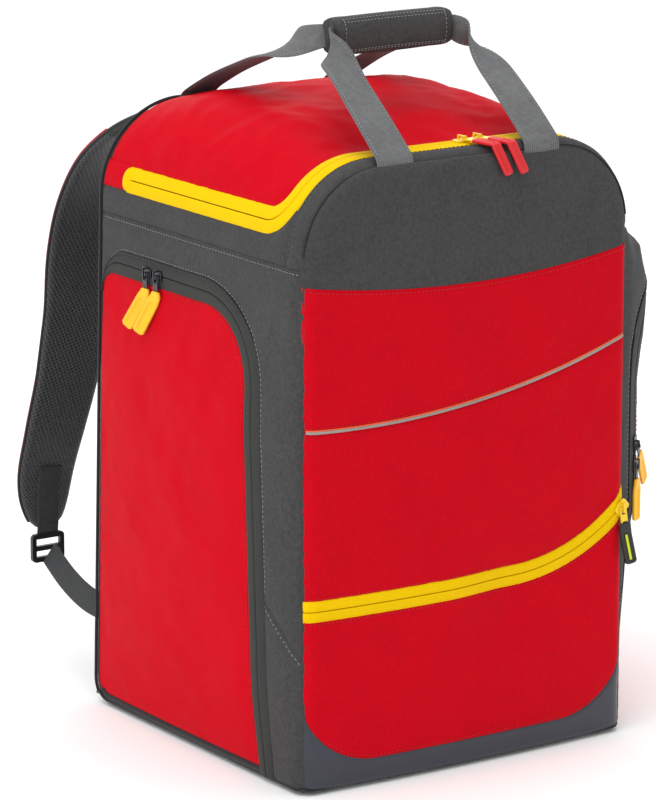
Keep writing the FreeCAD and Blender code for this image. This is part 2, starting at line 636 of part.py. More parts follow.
grip_whole = plate("grip_whole", "YZ", [
    ("-Sheet.grip_back - Sheet.grip_deep / 2", "Sheet.grip_height - Sheet.grip_tall / 2"),
    ("-Sheet.grip_back + Sheet.grip_deep / 2", "Sheet.grip_height - Sheet.grip_tall / 2"),
    ("-Sheet.grip_back + Sheet.grip_deep / 2", "Sheet.grip_height + Sheet.grip_tall / 2"),
    ("-Sheet.grip_back - Sheet.grip_deep / 2", "Sheet.grip_height + Sheet.grip_tall / 2")],
    "-Sheet.grip_half", "2 * Sheet.grip_half", [((0, 1, 2, 3), "Sheet.grip_round")])
for name, low, high, core_y in (("front", "-300", "-Sheet.grip_back - Sheet.grip_gap", grip_y - core_step),
                                ("rear", "-Sheet.grip_back + Sheet.grip_gap", "300", grip_y + core_step)):
    zone = slab(f"{name}_grip_zone", ("-300", low, "0"), ("300", high, "900"))
    slot = feature(f"{name}_grip_slot", Part.makeBox(400, web_thick + 0.6, 20.6,
                   Vector(-200, core_y - web_thick / 2 - 0.3, grip_z - 10.3)))
    cut(f"{name}_grip_made", common(f"{name}_grip_part", grip_whole, zone), slot, f"{name}_grip_half")

# ---------------------------------------------------------------- shoulder straps

# The left strap's middle line from its top seam to its lower end; the right one is its mirror image.
STRAP_LINE = [(-92, 172, 588), (-92, 206, 586), (-92, 262, 562), (-93, 316, 524), (-95, 352, 474),
              (-100, 364, 420), (-112, 352, 356), (-130, 338, 300), (-144, 340, 244), (-150, 352, 190), (-150, 354, 140)]
STRAP_WIDTHS = [0.8, 0.88, 0.96, 1, 1, 1, 1, 1, 0.97, 0.9, 0.62]


def mirrored(shape):
    return shape.mirror(Vector(0, 0, 0), Vector(1, 0, 0))


lock_centre = Vector(-150, 350, 118)
WEB_LINE = [(-174, 195.5, 92), (-170, 236, 96), (-160, 296, 104), (-151, 344, 113)]
pad_shape = ribbon(STRAP_LINE, [size("pad_wide") * w for w in STRAP_WIDTHS], size("pad_thick"))
web_shape = ribbon(WEB_LINE, [size("strap_web_wide")] * len(WEB_LINE), size("strap_web_thick"), Vector(0.5, 0, 1))
for side in ("left", "right"):
    place = (lambda s: s) if side == "left" else mirrored
    feature(f"{side}_pad_made", place(pad_shape), f"{side}_shoulder_pad")
    feature(f"{side}_web_made", place(web_shape), f"{side}_lower_webbing")


def ladder_lock(name):
    """A three-bar buckle: two slots between bars and a thumb lip."""
    half_w, half_l = "Sheet.lock_wide / 2", "Sheet.lock_long / 2"
    body = plate(name, "XY", [(f"-{half_w}", f"-{half_l}"), (half_w, f"-{half_l}"), (half_w, half_l), (f"-{half_w}", half_l)],
                 "-Sheet.lock_thick / 2", "Sheet.lock_thick", [((0, 1, 2, 3), "5")])
    for number, (low, high) in enumerate((("-9.5", "-3"), ("2", "9.5"))):
        window = polygon_sketch(body, f"{name}_slot{number}", "XY", [
            (f"-{half_w} + 5", low), (f"{half_w} - 5", low), (f"{half_w} - 5", high), (f"-{half_w} + 5", high)],
            "Sheet.lock_thick / 2")
        pocket = body.newObject("PartDesign::Pocket", f"{name}_pocket{number}")
        pocket.Profile = window
        pocket.Type = "ThroughAll"
        doc.recompute()
        body.Tip = pocket
    return body


for side, sign in (("left", -1), ("right", 1)):
    lock = ladder_lock(f"{side}_lock")
    lock.Placement = Placement(Vector(sign * abs(lock_centre.x), lock_centre.y, lock_centre.z),
                               Rotation(Vector(1, 0, 0), 90))
    keep(lock, f"{side}_ladder_lock")

# ---------------------------------------------------------------- zip sliders and pulls

deck = "(Sheet.coil_proud + 0.3 + Sheet.plate_thick)"
pivot_height = size("coil_proud") + 0.3 + size("plate_thick") + size("bail_high") / 2


def slider_body(name, grips):
    """The slider: a top plate over both coils, a thin post between them and a foot under the tape it stays on."""
    half_l, half_w = "Sheet.slider_long / 2", "Sheet.slider_wide / 2"
    top = plate(f"{name}_top", "XY", [(f"-{half_l}", f"-{half_w} + 2"), ("-2", f"-{half_w}"), (half_l, f"-{half_w}"),
                                      (half_l, half_w), ("-2", half_w), (f"-{half_l}", f"{half_w} - 2")],
                "Sheet.coil_proud + 0.3", "Sheet.plate_thick", [((2, 3), "2.5")])
    low = f"-{half_w}" if grips <= 0 else "-0.25"
    high = half_w if grips >= 0 else "0.25"
    foot = slab(f"{name}_foot", (f"-{half_l} + 1", low, "-Sheet.tape_thick - 0.3 - Sheet.plate_thick"),
                (f"{half_l} - 1", high, "-Sheet.tape_thick - 0.3"))
    post = slab(f"{name}_post", ("-4", "-Sheet.post_thick / 2", "-Sheet.tape_thick - 0.4"),
                ("4", "Sheet.post_thick / 2", "Sheet.coil_proud + 0.4"))
    return union(f"{name}_core", [top, foot, post])


def slider_bail(name):
    """The arch on a slider that the pull hangs from; it runs along the pull's own direction, Y."""
    reach, wire = "Sheet.bail_reach", "Sheet.bail_wire"
    ends = [slab(f"{name}_end{number}", (f"-{wire} / 2", a, f"{deck} - 0.1"), (f"{wire} / 2", b, f"{deck} + Sheet.bail_high"))
            for number, (a, b) in enumerate(((f"-{reach}", f"-{reach} + 1.4"), (f"{reach} - 1.4", reach)))]
    bridge = slab(f"{name}_bridge", (f"-{wire} / 2", f"-{reach}", f"{deck} + Sheet.bail_high - 0.1"),
                  (f"{wire} / 2", reach, f"{deck} + Sheet.bail_high + 1.3"))
    return union(name, [*ends, bridge])


def pull(tag_long, straight, droop):
    """A pull hanging along -Y from a bar at its origin: a metal tab, and a tag threaded through its slot that may droop."""
    tab_w, tab_t, tab_l = size("tab_wide"), size("tab_thick"), size("tab_long")
    bar_half = tab_t / 2
    tab = Part.makeBox(tab_w, tab_l, tab_t, Vector(-tab_w / 2, bar_half - tab_l, -tab_t / 2))
    eye = Part.makeBox(tab_w - 3, 6.3, 3 * tab_t, Vector(-(tab_w - 3) / 2, -bar_half - 6.3, -1.5 * tab_t))
    slot_end = bar_half - tab_l + 2
    slot = Part.makeBox(tab_w - 2.6, 4, 3 * tab_t, Vector(-(tab_w - 2.6) / 2, slot_end, -1.5 * tab_t))
    tab = tab.cut(eye.fuse(slot))
    wide, thick = size("tag_wide"), size("tag_thick")
    head = slot_end + 3.2
    tag = Part.makeBox(wide, straight, thick, Vector(-wide / 2, head - straight, -thick / 2))
    rest = Part.makeBox(wide, tag_long - straight, thick, Vector(-wide / 2, straight - tag_long, -thick / 2))
    rest = rest.makeFillet(1.2, [e for e in rest.Edges if abs(e.tangentAt(e.FirstParameter).z) > 0.9 and e.CenterOfMass.y < -1])
    rest.Placement = Placement(Vector(0, head - straight, 0), Rotation(Vector(1, 0, 0), droop))
    knee = Part.makeCylinder(thick / 2, wide, Vector(-wide / 2, head - straight, 0), Vector(1, 0, 0))
    notch = Part.makeBox(wide + 2, 6, tab_t + 0.6, Vector(-wide / 2 - 1, head - 6, -tab_t / 2 - 0.3))
    bar = Part.makeBox(tab_w - 3.4, 1.8, thick, Vector(-(tab_w - 3.4) / 2, slot_end + 0.8, -thick / 2))
    tag = tag.fuse([rest, knee]).cut(notch).fuse(bar).removeSplitter()
    return Part.makeCompound([tab, *tag.Solids])


crown_slope = math.atan((size("rear_height") - size("front_height")) / size("loft_depth"))
lid_zip_crown = size("front_height") + (size("front_face") - size("wall") - size("lid_zip_front")) * math.tan(crown_slope)
up_slope = Vector(0, math.cos(crown_slope), math.sin(crown_slope))
lid_out = Vector(0, -math.sin(crown_slope), math.cos(crown_slope))
lid_hang = (Vector(0.3, 0, 0) - up_slope).normalize()
down = Vector(0, 0, -1)
door_z = size("door_top")
half_w = size("half_width")
park = zip_angle * 0.93
park_spot = Vector(zip_bend + zip_radius * math.sin(park), front, zip_centre.z - zip_radius * math.cos(park))
park_travel = Vector(math.cos(park), 0, math.sin(park))
pouch_back = Vector(size("pouch_bulge"), pouch_run, 0).normalize()
slant = (down + pouch_back * 0.75).normalize()

# name: place on the zip, travel, outward, the side whose tape it stays on (None for both), hang, tag, straight part, droop
SLIDERS = {
    "lid_left": (Vector(16, -size("lid_zip_front"), lid_zip_crown), Vector(-1, 0, 0), lid_out, up_slope, lid_hang, 44, 25, 62),
    "lid_right": (Vector(34, -size("lid_zip_front"), lid_zip_crown), Vector(1, 0, 0), lid_out, up_slope, lid_hang, 44, 25, 62),
    "left_door_front": (Vector(-half_w, 62, door_z), Vector(0, -1, 0), Vector(-1, 0, 0), down, down, 42, 12, 0),
    "left_door_rear": (Vector(-half_w, 81, door_z), Vector(0, 1, 0), Vector(-1, 0, 0), down, down, 42, 12, 0),
    "right_door_lower": (Vector(pouch_x, -size("pouch_door"), 262), down, pouch_out, pouch_back, down, 42, 12, 0),
    "right_door_upper": (Vector(pouch_x, -size("pouch_door"), 282), -down, pouch_out, pouch_back, slant, 42, 12, 0),
    "pocket": (park_spot, park_travel, Vector(0, -1, 0), None, Vector(0.14, 0, -1).normalize(), 42, 12, 0),
}
for name, (place, travel, outward, stays_on, hang, tag_long, straight, droop) in SLIDERS.items():
    spot = frame_at(place, travel, outward)
    grips = 0 if stays_on is None else (1 if outward.cross(travel).dot(stays_on) > 0 else -1)
    core = slider_body(f"{name}_made", grips)
    core.Placement = spot
    bail = slider_bail(f"{name}_bail")
    bail.Placement = frame_at(place, outward.cross(hang), outward)
    union(f"{name}_slider_made", [core, bail], f"{name}_slider")
    tag = feature(f"{name}_pull_made", pull(tag_long, straight, droop))
    tag.Placement = frame_at(place + outward * pivot_height, outward.cross(hang), outward)
    keep(tag, f"{name}_pull")
    print("PIVOT", name, [round(c, 2) for c in place + outward * pivot_height], "axis",
          [round(c, 4) for c in hang.cross(outward)], "travel", [round(c, 4) for c in travel])
print("ZIP_CENTRE", zip_centre, "RADIUS", zip_radius, "PARK", math.degrees(park))

# ---------------------------------------------------------------- checks and files

doc.recompute()
for thing in doc.Objects:
    if "Invalid" in thing.State or "Error" in thing.State:
        raise RuntimeError(f"{thing.Name} failed: {thing.State}")
for thing in subparts:
    shape = thing.Shape
    if shape.isNull() or not shape.isValid() or not shape.Solids or shape.Volume <= 0:
        raise RuntimeError(f"{thing.Label} has no valid solid")
for old in os.listdir("parts"):
    os.remove(os.path.join("parts", old))
for thing in subparts:
    thing.Shape.exportStep(os.path.join("parts", thing.Label + ".step"))
print(len(subparts), "sub-parts")
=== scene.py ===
import math

import bpy
import numpy as np
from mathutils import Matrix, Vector, noise
from mathutils.geometry import delaunay_2d_cdt


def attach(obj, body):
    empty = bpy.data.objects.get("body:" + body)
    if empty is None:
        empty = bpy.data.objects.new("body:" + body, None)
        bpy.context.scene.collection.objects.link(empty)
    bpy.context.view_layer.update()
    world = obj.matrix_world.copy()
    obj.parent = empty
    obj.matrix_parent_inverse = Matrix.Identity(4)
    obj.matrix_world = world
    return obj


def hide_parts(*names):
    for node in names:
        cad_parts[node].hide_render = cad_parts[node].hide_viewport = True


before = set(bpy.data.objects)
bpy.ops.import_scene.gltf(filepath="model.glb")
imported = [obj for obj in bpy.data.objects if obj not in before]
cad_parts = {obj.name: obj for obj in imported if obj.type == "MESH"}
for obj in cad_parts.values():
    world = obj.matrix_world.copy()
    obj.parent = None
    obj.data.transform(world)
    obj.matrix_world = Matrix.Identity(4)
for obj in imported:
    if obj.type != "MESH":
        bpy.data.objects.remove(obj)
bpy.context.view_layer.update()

# ---------------------------------------------------------------- sizes of the bag, in millimetres

HALF, FRONT = 190.0, 184.0          # half the width; how far the front stands ahead of the middle
SHOULDER, FLAT = 88.0, 102.0        # radius of the arch's shoulders; where the flat of the arch ends
SEAM, GUSSET_SEAM = 490.0, 505.0    # red to grey on the front; side to top on the flanks
ZIP_Y, ZIP_Z = -147.0, 543.0        # the lid's zip: depth of its front run, height of its side run
ZIP_BEND, ZIP_END = 30.0, 122.0     # the lid's zip: radius of its bend, depth of its rear end
TAPE, POCKET_TAPE = 11.0, 9.0       # a zip's tape from its middle
DOOR_TOP, DOOR_LOW = 459.0, 6.0
SILL = 12.5                         # the dark sill under each door
BULGE = 46.0                        # how far the filled right side stands out
EDGE_ROUND, BASE_ROUND, HEEL_ROUND = 15.0, 10.0, 28.0


def crown(y):
    """Height of the arch's top at a depth."""
    return 598 + (y + 180) * 14 / 390


def back_y(z):
    """Front face of the back panel, which leans forward as it rises."""
    return 188 - 0.04196 * z


def smooth(a, b, x):
    """Nought at a, one at b, with a soft start and end."""
    t = np.clip((x - a) / (b - a), 0, 1)
    return t * t * (3 - 2 * t)


# ---------------------------------------------------------------- the walls that the cloth is laid on

def front_wall(x, z):
    """The flat front."""
    return np.stack([x, np.full_like(x, -FRONT), z], -1)


def left_wall(y, z):
    """The flank, which turns into the arch's shoulder where it is high enough."""
    rise = np.clip(z - (crown(y) - SHOULDER), 0, SHOULDER - 0.01)
    return np.stack([-(FLAT + np.sqrt(SHOULDER ** 2 - rise ** 2)), y, z], -1)


def right_top_wall(y, z):
    """The right flank above the gusset seam, where it mirrors the left."""
    return left_wall(y, z) * np.array([-1, 1, 1])


def right_plan(y):
    """How the right flank's bulge runs from front to back, as a share of its depth."""
    return np.interp(y, [-180, -148, -138, -120, -60, 40, 110, 150, 166, 205],
                     [0, 0.84, 1.0, 1.07, 1.1, 0.98, 0.6, 0.15, 0, 0])


def right_wall(y, z):
    """The filled right flank: it swells from the base, and closes under the gusset seam."""
    share = np.interp(z, [4, 80, 150, 225, 345, 390, 440, 475, 492, GUSSET_SEAM],
                      [0, 0.08, 0.55, 0.98, 0.98, 1.14, 1.2, 0.92, 0.52, 0.2])
    return np.stack([HALF + BULGE * share * right_plan(y), y, z], -1)


def back_wall(x, z):
    """The back panel's outer face."""
    return np.stack([x, back_y(z) + 5.2, z], -1)


def top_wall(s, y):
    """The arch: s runs across it from the middle, along the curve."""
    turn = np.clip((np.abs(s) - FLAT) / SHOULDER, 0, math.pi / 2)
    fall = np.maximum(np.abs(s) - FLAT - SHOULDER * math.pi / 2, 0)
    x = np.minimum(np.abs(s), FLAT) + SHOULDER * np.sin(turn)
    z = crown(y) - SHOULDER + SHOULDER * np.cos(turn) - fall
    return np.stack([np.sign(s) * x, y, z], -1)


def arch_s(y, z):
    """How far across the arch a height on its left shoulder lies, as a positive length."""
    rise = z - (crown(y) - SHOULDER)
    turn = np.arccos(np.clip(rise / SHOULDER, -1, 1))
    return np.where(rise < 0, FLAT + SHOULDER * math.pi / 2 - rise, FLAT + SHOULDER * turn)


# wall: its function, and which way its normal from the two directions has to turn to point outwards
FACE, LEFT, RIGHT, RIGHT_TOP = (front_wall, 1), (left_wall, -1), (right_wall, 1), (right_top_wall, 1)
BACK, TOP = (back_wall, -1), (top_wall, 1)


def laid(wall, u, v):
    """Points on a wall, and the wall's outward directions there."""
    place, way = wall
    u, v = np.asarray(u, float), np.asarray(v, float)
    h = 0.5
    du = place(u + h, v) - place(u - h, v)
    dv = place(u, v + h) - place(u, v - h)
    out = np.cross(du, dv) * way
    out /= np.maximum(np.linalg.norm(out, axis=-1, keepdims=True), 1e-9)
    return place(u, v), out


def rounded(points):
    """The bag's soft edges: the front edge all round the arch, and the edges along the base."""
    p = points.copy()
    for across, radius in (("front", EDGE_ROUND), ("heel", HEEL_ROUND), ("base", BASE_ROUND),
                           ("toe", BASE_ROUND)):
        x, y, z = np.abs(p[:, 0]), p[:, 1], p[:, 2]
        lift = np.maximum(z - (crown(y) - SHOULDER), 0)
        over = np.maximum(x - FLAT, 0)
        reach = np.hypot(over, lift)
        out_x = np.where(lift > 0, over / np.maximum(reach, 1e-6), 1.0)
        out_z = np.where(lift > 0, lift / np.maximum(reach, 1e-6), 0.0)
        beyond = np.where(lift > 0, reach - SHOULDER, x - HALF)
        if across == "front":
            a, b = beyond + radius, -y - FRONT + radius
        elif across == "base":
            a, b = beyond + radius, radius - z
        elif across == "heel":
            a, b = y - back_y(z) - 5 + radius, radius - z
        else:
            a, b = -y - FRONT + radius, radius - z
        inside = (a > 0) & (b > 0)
        most, length = np.maximum(a, b), np.maximum(np.hypot(a, b), 1e-6)
        da = np.where(inside, a * (most / length - 1), 0)
        db = np.where(inside, b * (most / length - 1), 0)
        if across in ("toe", "heel"):
            p[:, 1] += da if across == "heel" else -da
        else:
            p[:, 0] += np.sign(p[:, 0]) * out_x * da
            p[:, 2] += out_z * da
        if across == "front":
            p[:, 1] -= db
        else:
            p[:, 2] -= db
    return p


# ---------------------------------------------------------------- outlines

def run(a, b, step=4.0):
    """Points from a to b, without b."""
    a, b = np.array(a, float), np.array(b, float)
    count = max(1, int(round(np.linalg.norm(b - a) / step)))
    return a + (b - a) * (np.arange(count) / count)[:, None]


def closed_run(*corners):
    """Straight runs from corner to corner and back to the first."""
    return np.concatenate([run(a, b) for a, b in zip(corners, corners[1:] + corners[:1])])


def bend(centre, radius, start, end, count):
    """An arc between two angles in degrees, ends included."""
    t = np.radians(np.linspace(start, end, count))
    return np.stack([centre[0] + radius * np.cos(t), centre[1] + radius * np.sin(t)], -1)


def fillet(corner, before, after, radius, count=14):
    """The arc that rounds a corner between two neighbours."""
    corner, before, after = (np.array(p, float) for p in (corner, before, after))
    a, b = before - corner, after - corner
    a, b = a / np.linalg.norm(a), b / np.linalg.norm(b)
    half = math.acos(np.clip(a @ b, -1, 1)) / 2
    centre = corner + (a + b) / np.linalg.norm(a + b) * radius / math.sin(half)
    first, last = corner + a * radius / math.tan(half), corner + b * radius / math.tan(half)
    t0 = math.atan2(*(first - centre)[::-1])
    t1 = math.atan2(*(last - centre)[::-1])
    turn = (t1 - t0 + math.pi) % (2 * math.pi) - math.pi
    t = t0 + turn * np.linspace(0, 1, count)
    return np.stack([centre[0] + radius * np.cos(t), centre[1] + radius * np.sin(t)], -1)


def door_front(side, z):
    """Where the door zip's front run stands at a height."""
    return -158.0 if side == "right" else -126 + 18 * (z - DOOR_LOW) / (DOOR_TOP - DOOR_LOW)


def door_corners(side, inset):
    """The door's four corners before rounding, moved in by inset."""
    top = DOOR_TOP - inset
    return ([door_front(side, DOOR_LOW) + inset, DOOR_LOW], [back_y(DOOR_LOW) - 2.5, DOOR_LOW],
            [back_y(top) - 2.5, top], [door_front(side, DOOR_TOP) + inset, top])


def door_line(side, inset):
    """The line of a door's zip moved in by inset: up the front, over the top and round the rear corner."""
    low, rear_low, rear_top, front_top = door_corners(side, inset)
    bow = fillet(front_top, low, rear_top, 92 - inset, 22)
    heel = fillet(rear_top, front_top, rear_low, 34 - inset, 12)
    ways = np.linspace(0, 1, 60)[:-1, None]
    up = np.array(low) + (bow[0] - low) * ways
    ways = np.linspace(0, 1, 34)[1:-1, None]
    over = bow[-1] + (heel[0] - bow[-1]) * ways
    return np.concatenate([up, bow, over, heel])


def door_outline(side, inset):
    """The door's cloth, which stops just above the sill."""
    line = door_line(side, inset)
    line = line[line[:, 1] > SILL + 2]
    low, rear_low = (line[0][0], SILL + 0.8), (back_y(SILL) - 2.5, SILL + 0.8)
    return np.concatenate([[low], line, run(line[-1], rear_low)[1:], run(rear_low, low)])


def lid_line(offset):
    """The line of the lid's zip moved up by offset, as pairs on the arch, from left rear to right rear."""
    y = np.linspace(ZIP_END, ZIP_Y + ZIP_BEND, 62)[:-1]
    side = np.stack([y, np.full_like(y, ZIP_Z + offset)], -1)
    corner = bend((ZIP_Y + ZIP_BEND, ZIP_Z + ZIP_BEND), ZIP_BEND - offset, 270, 180, 14)
    left = np.concatenate([side, corner])
    flank = np.stack([-arch_s(left[:, 0], left[:, 1]), left[:, 0]], -1)
    last = flank[-1]
    s = np.linspace(last[0], -last[0], 88)[1:-1]
    across = np.stack([s, np.full_like(s, last[1])], -1)
    return np.concatenate([flank, across, flank[::-1] * np.array([-1, 1])])


POCKET_LEVEL, POCKET_BEND, POCKET_RADIUS = 180.0, 50.0, 203.0


def pocket_line(offset, reach=HALF):
    """The pocket zip's line moved up by offset: level from the left, then one arc up to the right edge."""
    radius = POCKET_RADIUS - offset
    level = run((-reach, POCKET_LEVEL + offset), (POCKET_BEND, POCKET_LEVEL + offset), 4.6)
    last = math.degrees(math.asin((reach - POCKET_BEND) / radius))
    return np.concatenate([level, bend((POCKET_BEND, POCKET_LEVEL + POCKET_RADIUS), radius, 270, 270 + last,
                                       42)])


def pocket_gap(x, z):
    """Distance from the pocket zip's line."""
    return np.where(x < POCKET_BEND, np.abs(z - POCKET_LEVEL),
                    np.abs(np.hypot(x - POCKET_BEND, z - POCKET_LEVEL - POCKET_RADIUS) - POCKET_RADIUS))


def piping_height(x):
    """Height of the reflective piping across the front, a shallow arc through three points."""
    (a, b, c), (fa, fb, fc) = (-195, 30, 195), (353, 365, 404)
    return (fa * (x - b) * (x - c) / ((a - b) * (a - c)) + fb * (x - a) * (x - c) / ((b - a) * (b - c))
            + fc * (x - a) * (x - b) / ((c - a) * (c - b)))


# ---------------------------------------------------------------- how the stuffed cloth swells

def crumple(points, size, seed):
    """Smooth noise of about one unit, its lumps of a size in millimetres."""
    shift = Vector((seed * 17.3, seed * 5.1, seed * 9.7))
    return np.array([noise.noise(Vector(p) / size + shift) for p in points])


def creases(points, size, seed):
    """Soft ridges, as cloth under light tension makes."""
    return 1 - 2 * np.abs(crumple(points, size, seed))


def pillow(u, v, low, high, power=2.6):
    """One in the middle of a box and nought at its edges."""
    a = 2 * (u - low[0]) / (high[0] - low[0]) - 1
    b = 2 * (v - low[1]) / (high[1] - low[1]) - 1
    return np.clip(1 - np.abs(a) ** power, 0, 1) * np.clip(1 - np.abs(b) ** power, 0, 1)


def front_swell(x, z, seam_gap=0):
    """The front bulges as one stuffed wall, and stays flat along the working part of the pocket zip."""
    across = np.clip(1 - np.abs(x / HALF) ** 2.4, 0, 1)
    up = smooth(-160, 100, z) * (1 - 0.55 * smooth(430, 600, z))
    gap = pocket_gap(x, z)
    below = np.hypot(np.maximum(x - POCKET_BEND, 0), z - POCKET_LEVEL - POCKET_RADIUS) > POCKET_RADIUS
    pinned = np.where(below, smooth(95, 25, gap), np.exp(-(gap / 26) ** 2)) * smooth(-30, 50, x)
    pocket = 3.0 * np.exp(-((z - 285) / 60) ** 2) * across
    return (9.5 * across * up + pocket) * (1 - pinned)


def flank_swell(y, z):
    """The left flank bulges as one wall below the run of the door's sliders."""
    along = np.clip(1 - np.abs((y + 5) / 186) ** 2.4, 0, 1)
    return 12.0 * along * smooth(455, 340, z) * smooth(-30, 110, z)


def no_swell(y, z):
    """The right flank's wall has its bulge already."""
    return np.zeros_like(y)


SWELLS = {"left": flank_swell, "right": no_swell}


# ---------------------------------------------------------------- making meshes

def mesh_piece(name, points, faces, uvs=None, bands=None, smooth_faces=True):
    """A mesh object from points in millimetres. uvs: one pair for each corner of each face, in metres."""
    mesh = bpy.data.meshes.new(name)
    mesh.from_pydata((np.asarray(points) * 0.001).tolist(), [], [list(map(int, f)) for f in faces])
    mesh.polygons.foreach_set("use_smooth", [smooth_faces] * len(mesh.polygons))
    if uvs is not None:
        layer = mesh.uv_layers.new(name="cloth")
        layer.data.foreach_set("uv", np.asarray(uvs, np.float32).ravel())
    if bands is not None:
        mesh.polygons.foreach_set("material_index", np.asarray(bands, np.int32))
    mesh.validate()
    mesh.update()
    made = bpy.data.objects.new(name, mesh)
    bpy.context.scene.collection.objects.link(made)
    return made


def finish_piece(made, body, materials, slot=None, nodes=()):
    """Gives a piece its finish, puts it on the body it rides on and hides the CAD parts it stands for; the
    slot is not used.
    """
    for material in materials:
        made.data.materials.append(material)
    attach(made, body)
    if nodes:
        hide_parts(*nodes)
    return made


def spread(outline, step):
    """A triangle net inside an outline: close rows along the seam, wider ones in the middle."""
    outline = np.asarray(outline, float)
    ring = [p for i, p in enumerate(outline) if np.linalg.norm(p - outline[i - 1]) > 0.4]
    edge = np.array(ring)
    ahead, behind = np.roll(edge, -1, 0), np.roll(edge, 1, 0)
    area = 0.5 * np.sum(edge[:, 0] * ahead[:, 1] - ahead[:, 0] * edge[:, 1])
    along = ahead - behind
    inward = np.stack([-along[:, 1], along[:, 0]], -1) * np.sign(area)
    inward /= np.maximum(np.linalg.norm(inward, axis=1, keepdims=True), 1e-9)
    low, high = edge.min(0), edge.max(0)
    rows = np.arange(low[1], high[1] + step, step * 0.866)
    field = [np.stack([np.arange(low[0] + (i % 2) * step / 2, high[0] + step, step),
                       np.full(len(np.arange(low[0] + (i % 2) * step / 2, high[0] + step, step)), y)], -1)
             for i, y in enumerate(rows)]
    field = np.concatenate(field)
    near = [edge + inward * 1.7, edge + inward * 4.4]
    parts = [edge]
    for cloud, gap in ((near[0], 1.35), (near[1], 3.9), (field, 4.4 + step * 0.45)):
        keep = inside(cloud, edge) & (gap_to(cloud, edge) > gap)
        parts.append(cloud[keep])
    cloud = np.concatenate(parts)
    points, _, faces, _, _, _ = delaunay_2d_cdt([Vector(p) for p in cloud], [], [list(range(len(edge)))], 1,
                                                1e-5)
    points = np.array([tuple(p) for p in points])
    return points, np.array(faces, int), edge


def inside(cloud, ring):
    """Which points lie within an outline."""
    a, b = ring, np.roll(ring, -1, 0)
    x, y = cloud[:, 0][:, None], cloud[:, 1][:, None]
    crosses = (a[:, 1] > y) != (b[:, 1] > y)
    rise = np.where(b[:, 1] == a[:, 1], 1e-9, b[:, 1] - a[:, 1])
    at = (b[:, 0] - a[:, 0]) * (y - a[:, 1]) / rise + a[:, 0]
    return (crosses & (x < at)).sum(1) % 2 == 1


def gap_to(cloud, ring):
    """Distance from each point to an outline."""
    a, b = ring, np.roll(ring, -1, 0)
    d = b - a
    square = np.maximum((d ** 2).sum(1), 1e-12)
    best = np.full(len(cloud), 1e9)
    for start in range(0, len(cloud), 800):
        part = cloud[start:start + 800, None, :]
        t = np.clip(((part - a) * d).sum(-1) / square, 0, 1)
        best[start:start + 800] = np.linalg.norm(part - (a + d * t[..., None]), axis=-1).min(1)
    return best


PANELS = {}


def lift_of(panel, u, v, gap, points):
    """How far the cloth stands off its wall: swell, crumples, and the dip where its edge is turned in."""
    swell = panel["swell"](u, v, gap)
    fade = 1 - np.exp(-(gap / 9) ** 2)
    rough = panel["crumple"] * (0.75 * crumple(points, 62, panel["seed"])
                                + 0.4 * creases(points, 34, panel["seed"] + 3))
    pucker = 0.35 * panel["crumple"] * crumple(points, 6.5, panel["seed"] + 5) * np.exp(-gap / 9)
    turned = -1.3 * np.clip(1 - gap / 3.4, 0, 1) ** 2
    return swell + rough * fade + pucker * np.clip(gap / 2, 0, 1) + turned


def cloth_panel(name, outline, wall, swell, body, materials, slot, nodes=(), thick=2.4, step=6.0,
                crumpled=1.0, seed=1, soft_edges=True):
    """One cut panel of cloth with its lining, sewn along its outline."""
    flat, faces, edge = spread(outline, step)
    gap = gap_to(flat, edge)
    base, out = laid(wall, flat[:, 0], flat[:, 1])
    panel = {"swell": swell, "crumple": crumpled, "seed": seed, "edge": edge, "wall": wall,
             "soft": soft_edges}
    PANELS[name] = panel
    lift = lift_of(panel, flat[:, 0], flat[:, 1], gap, base)
    skin = base + out * lift[:, None]
    lining = skin - out * thick
    if soft_edges:
        skin, lining = rounded(skin), rounded(lining)
    count = len(skin)
    a, b, c = flat[faces[:, 0]], flat[faces[:, 1]], flat[faces[:, 2]]
    turns = (b[:, 0] - a[:, 0]) * (c[:, 1] - a[:, 1]) - (b[:, 1] - a[:, 1]) * (c[:, 0] - a[:, 0])
    faces = np.where((turns * wall[1] > 0)[:, None], faces, faces[:, ::-1])
    directed = np.concatenate([faces[:, [0, 1]], faces[:, [1, 2]], faces[:, [2, 0]]])
    known = set(map(tuple, directed.tolist()))
    rim = [(i, j) for i, j in known if (j, i) not in known]
    rim.sort()
    sides = [(j, i, i + count, j + count) for i, j in rim]
    all_faces = faces.tolist() + (faces[:, ::-1] + count).tolist() + sides
    uv = np.concatenate([flat, flat]) * 0.001
    corners = [uv[k] for f in all_faces for k in f]
    bands = [0] * len(faces) + [1] * len(faces) + [0] * len(sides)
    made = mesh_piece(name, np.concatenate([skin, lining]), all_faces, corners, bands)
    hard = {tuple(sorted(e)) for f in sides for e in ((f[0], f[1]), (f[2], f[3]))}
    for seam_edge in made.data.edges:
        if tuple(sorted(seam_edge.vertices)) in hard:
            seam_edge.use_edge_sharp = True
    return finish_piece(made, body, materials, slot, nodes)


def on_panel(name, line, lift=0.3):
    """A line drawn on a finished panel, as points in space just above its cloth."""
    panel = PANELS[name]
    line = np.asarray(line, float)
    base, out = laid(panel["wall"], line[:, 0], line[:, 1])
    gap = gap_to(line, panel["edge"])
    points = base + out * (lift_of(panel, line[:, 0], line[:, 1], gap, base) + lift)[:, None]
    return rounded(points) if panel["soft"] else points


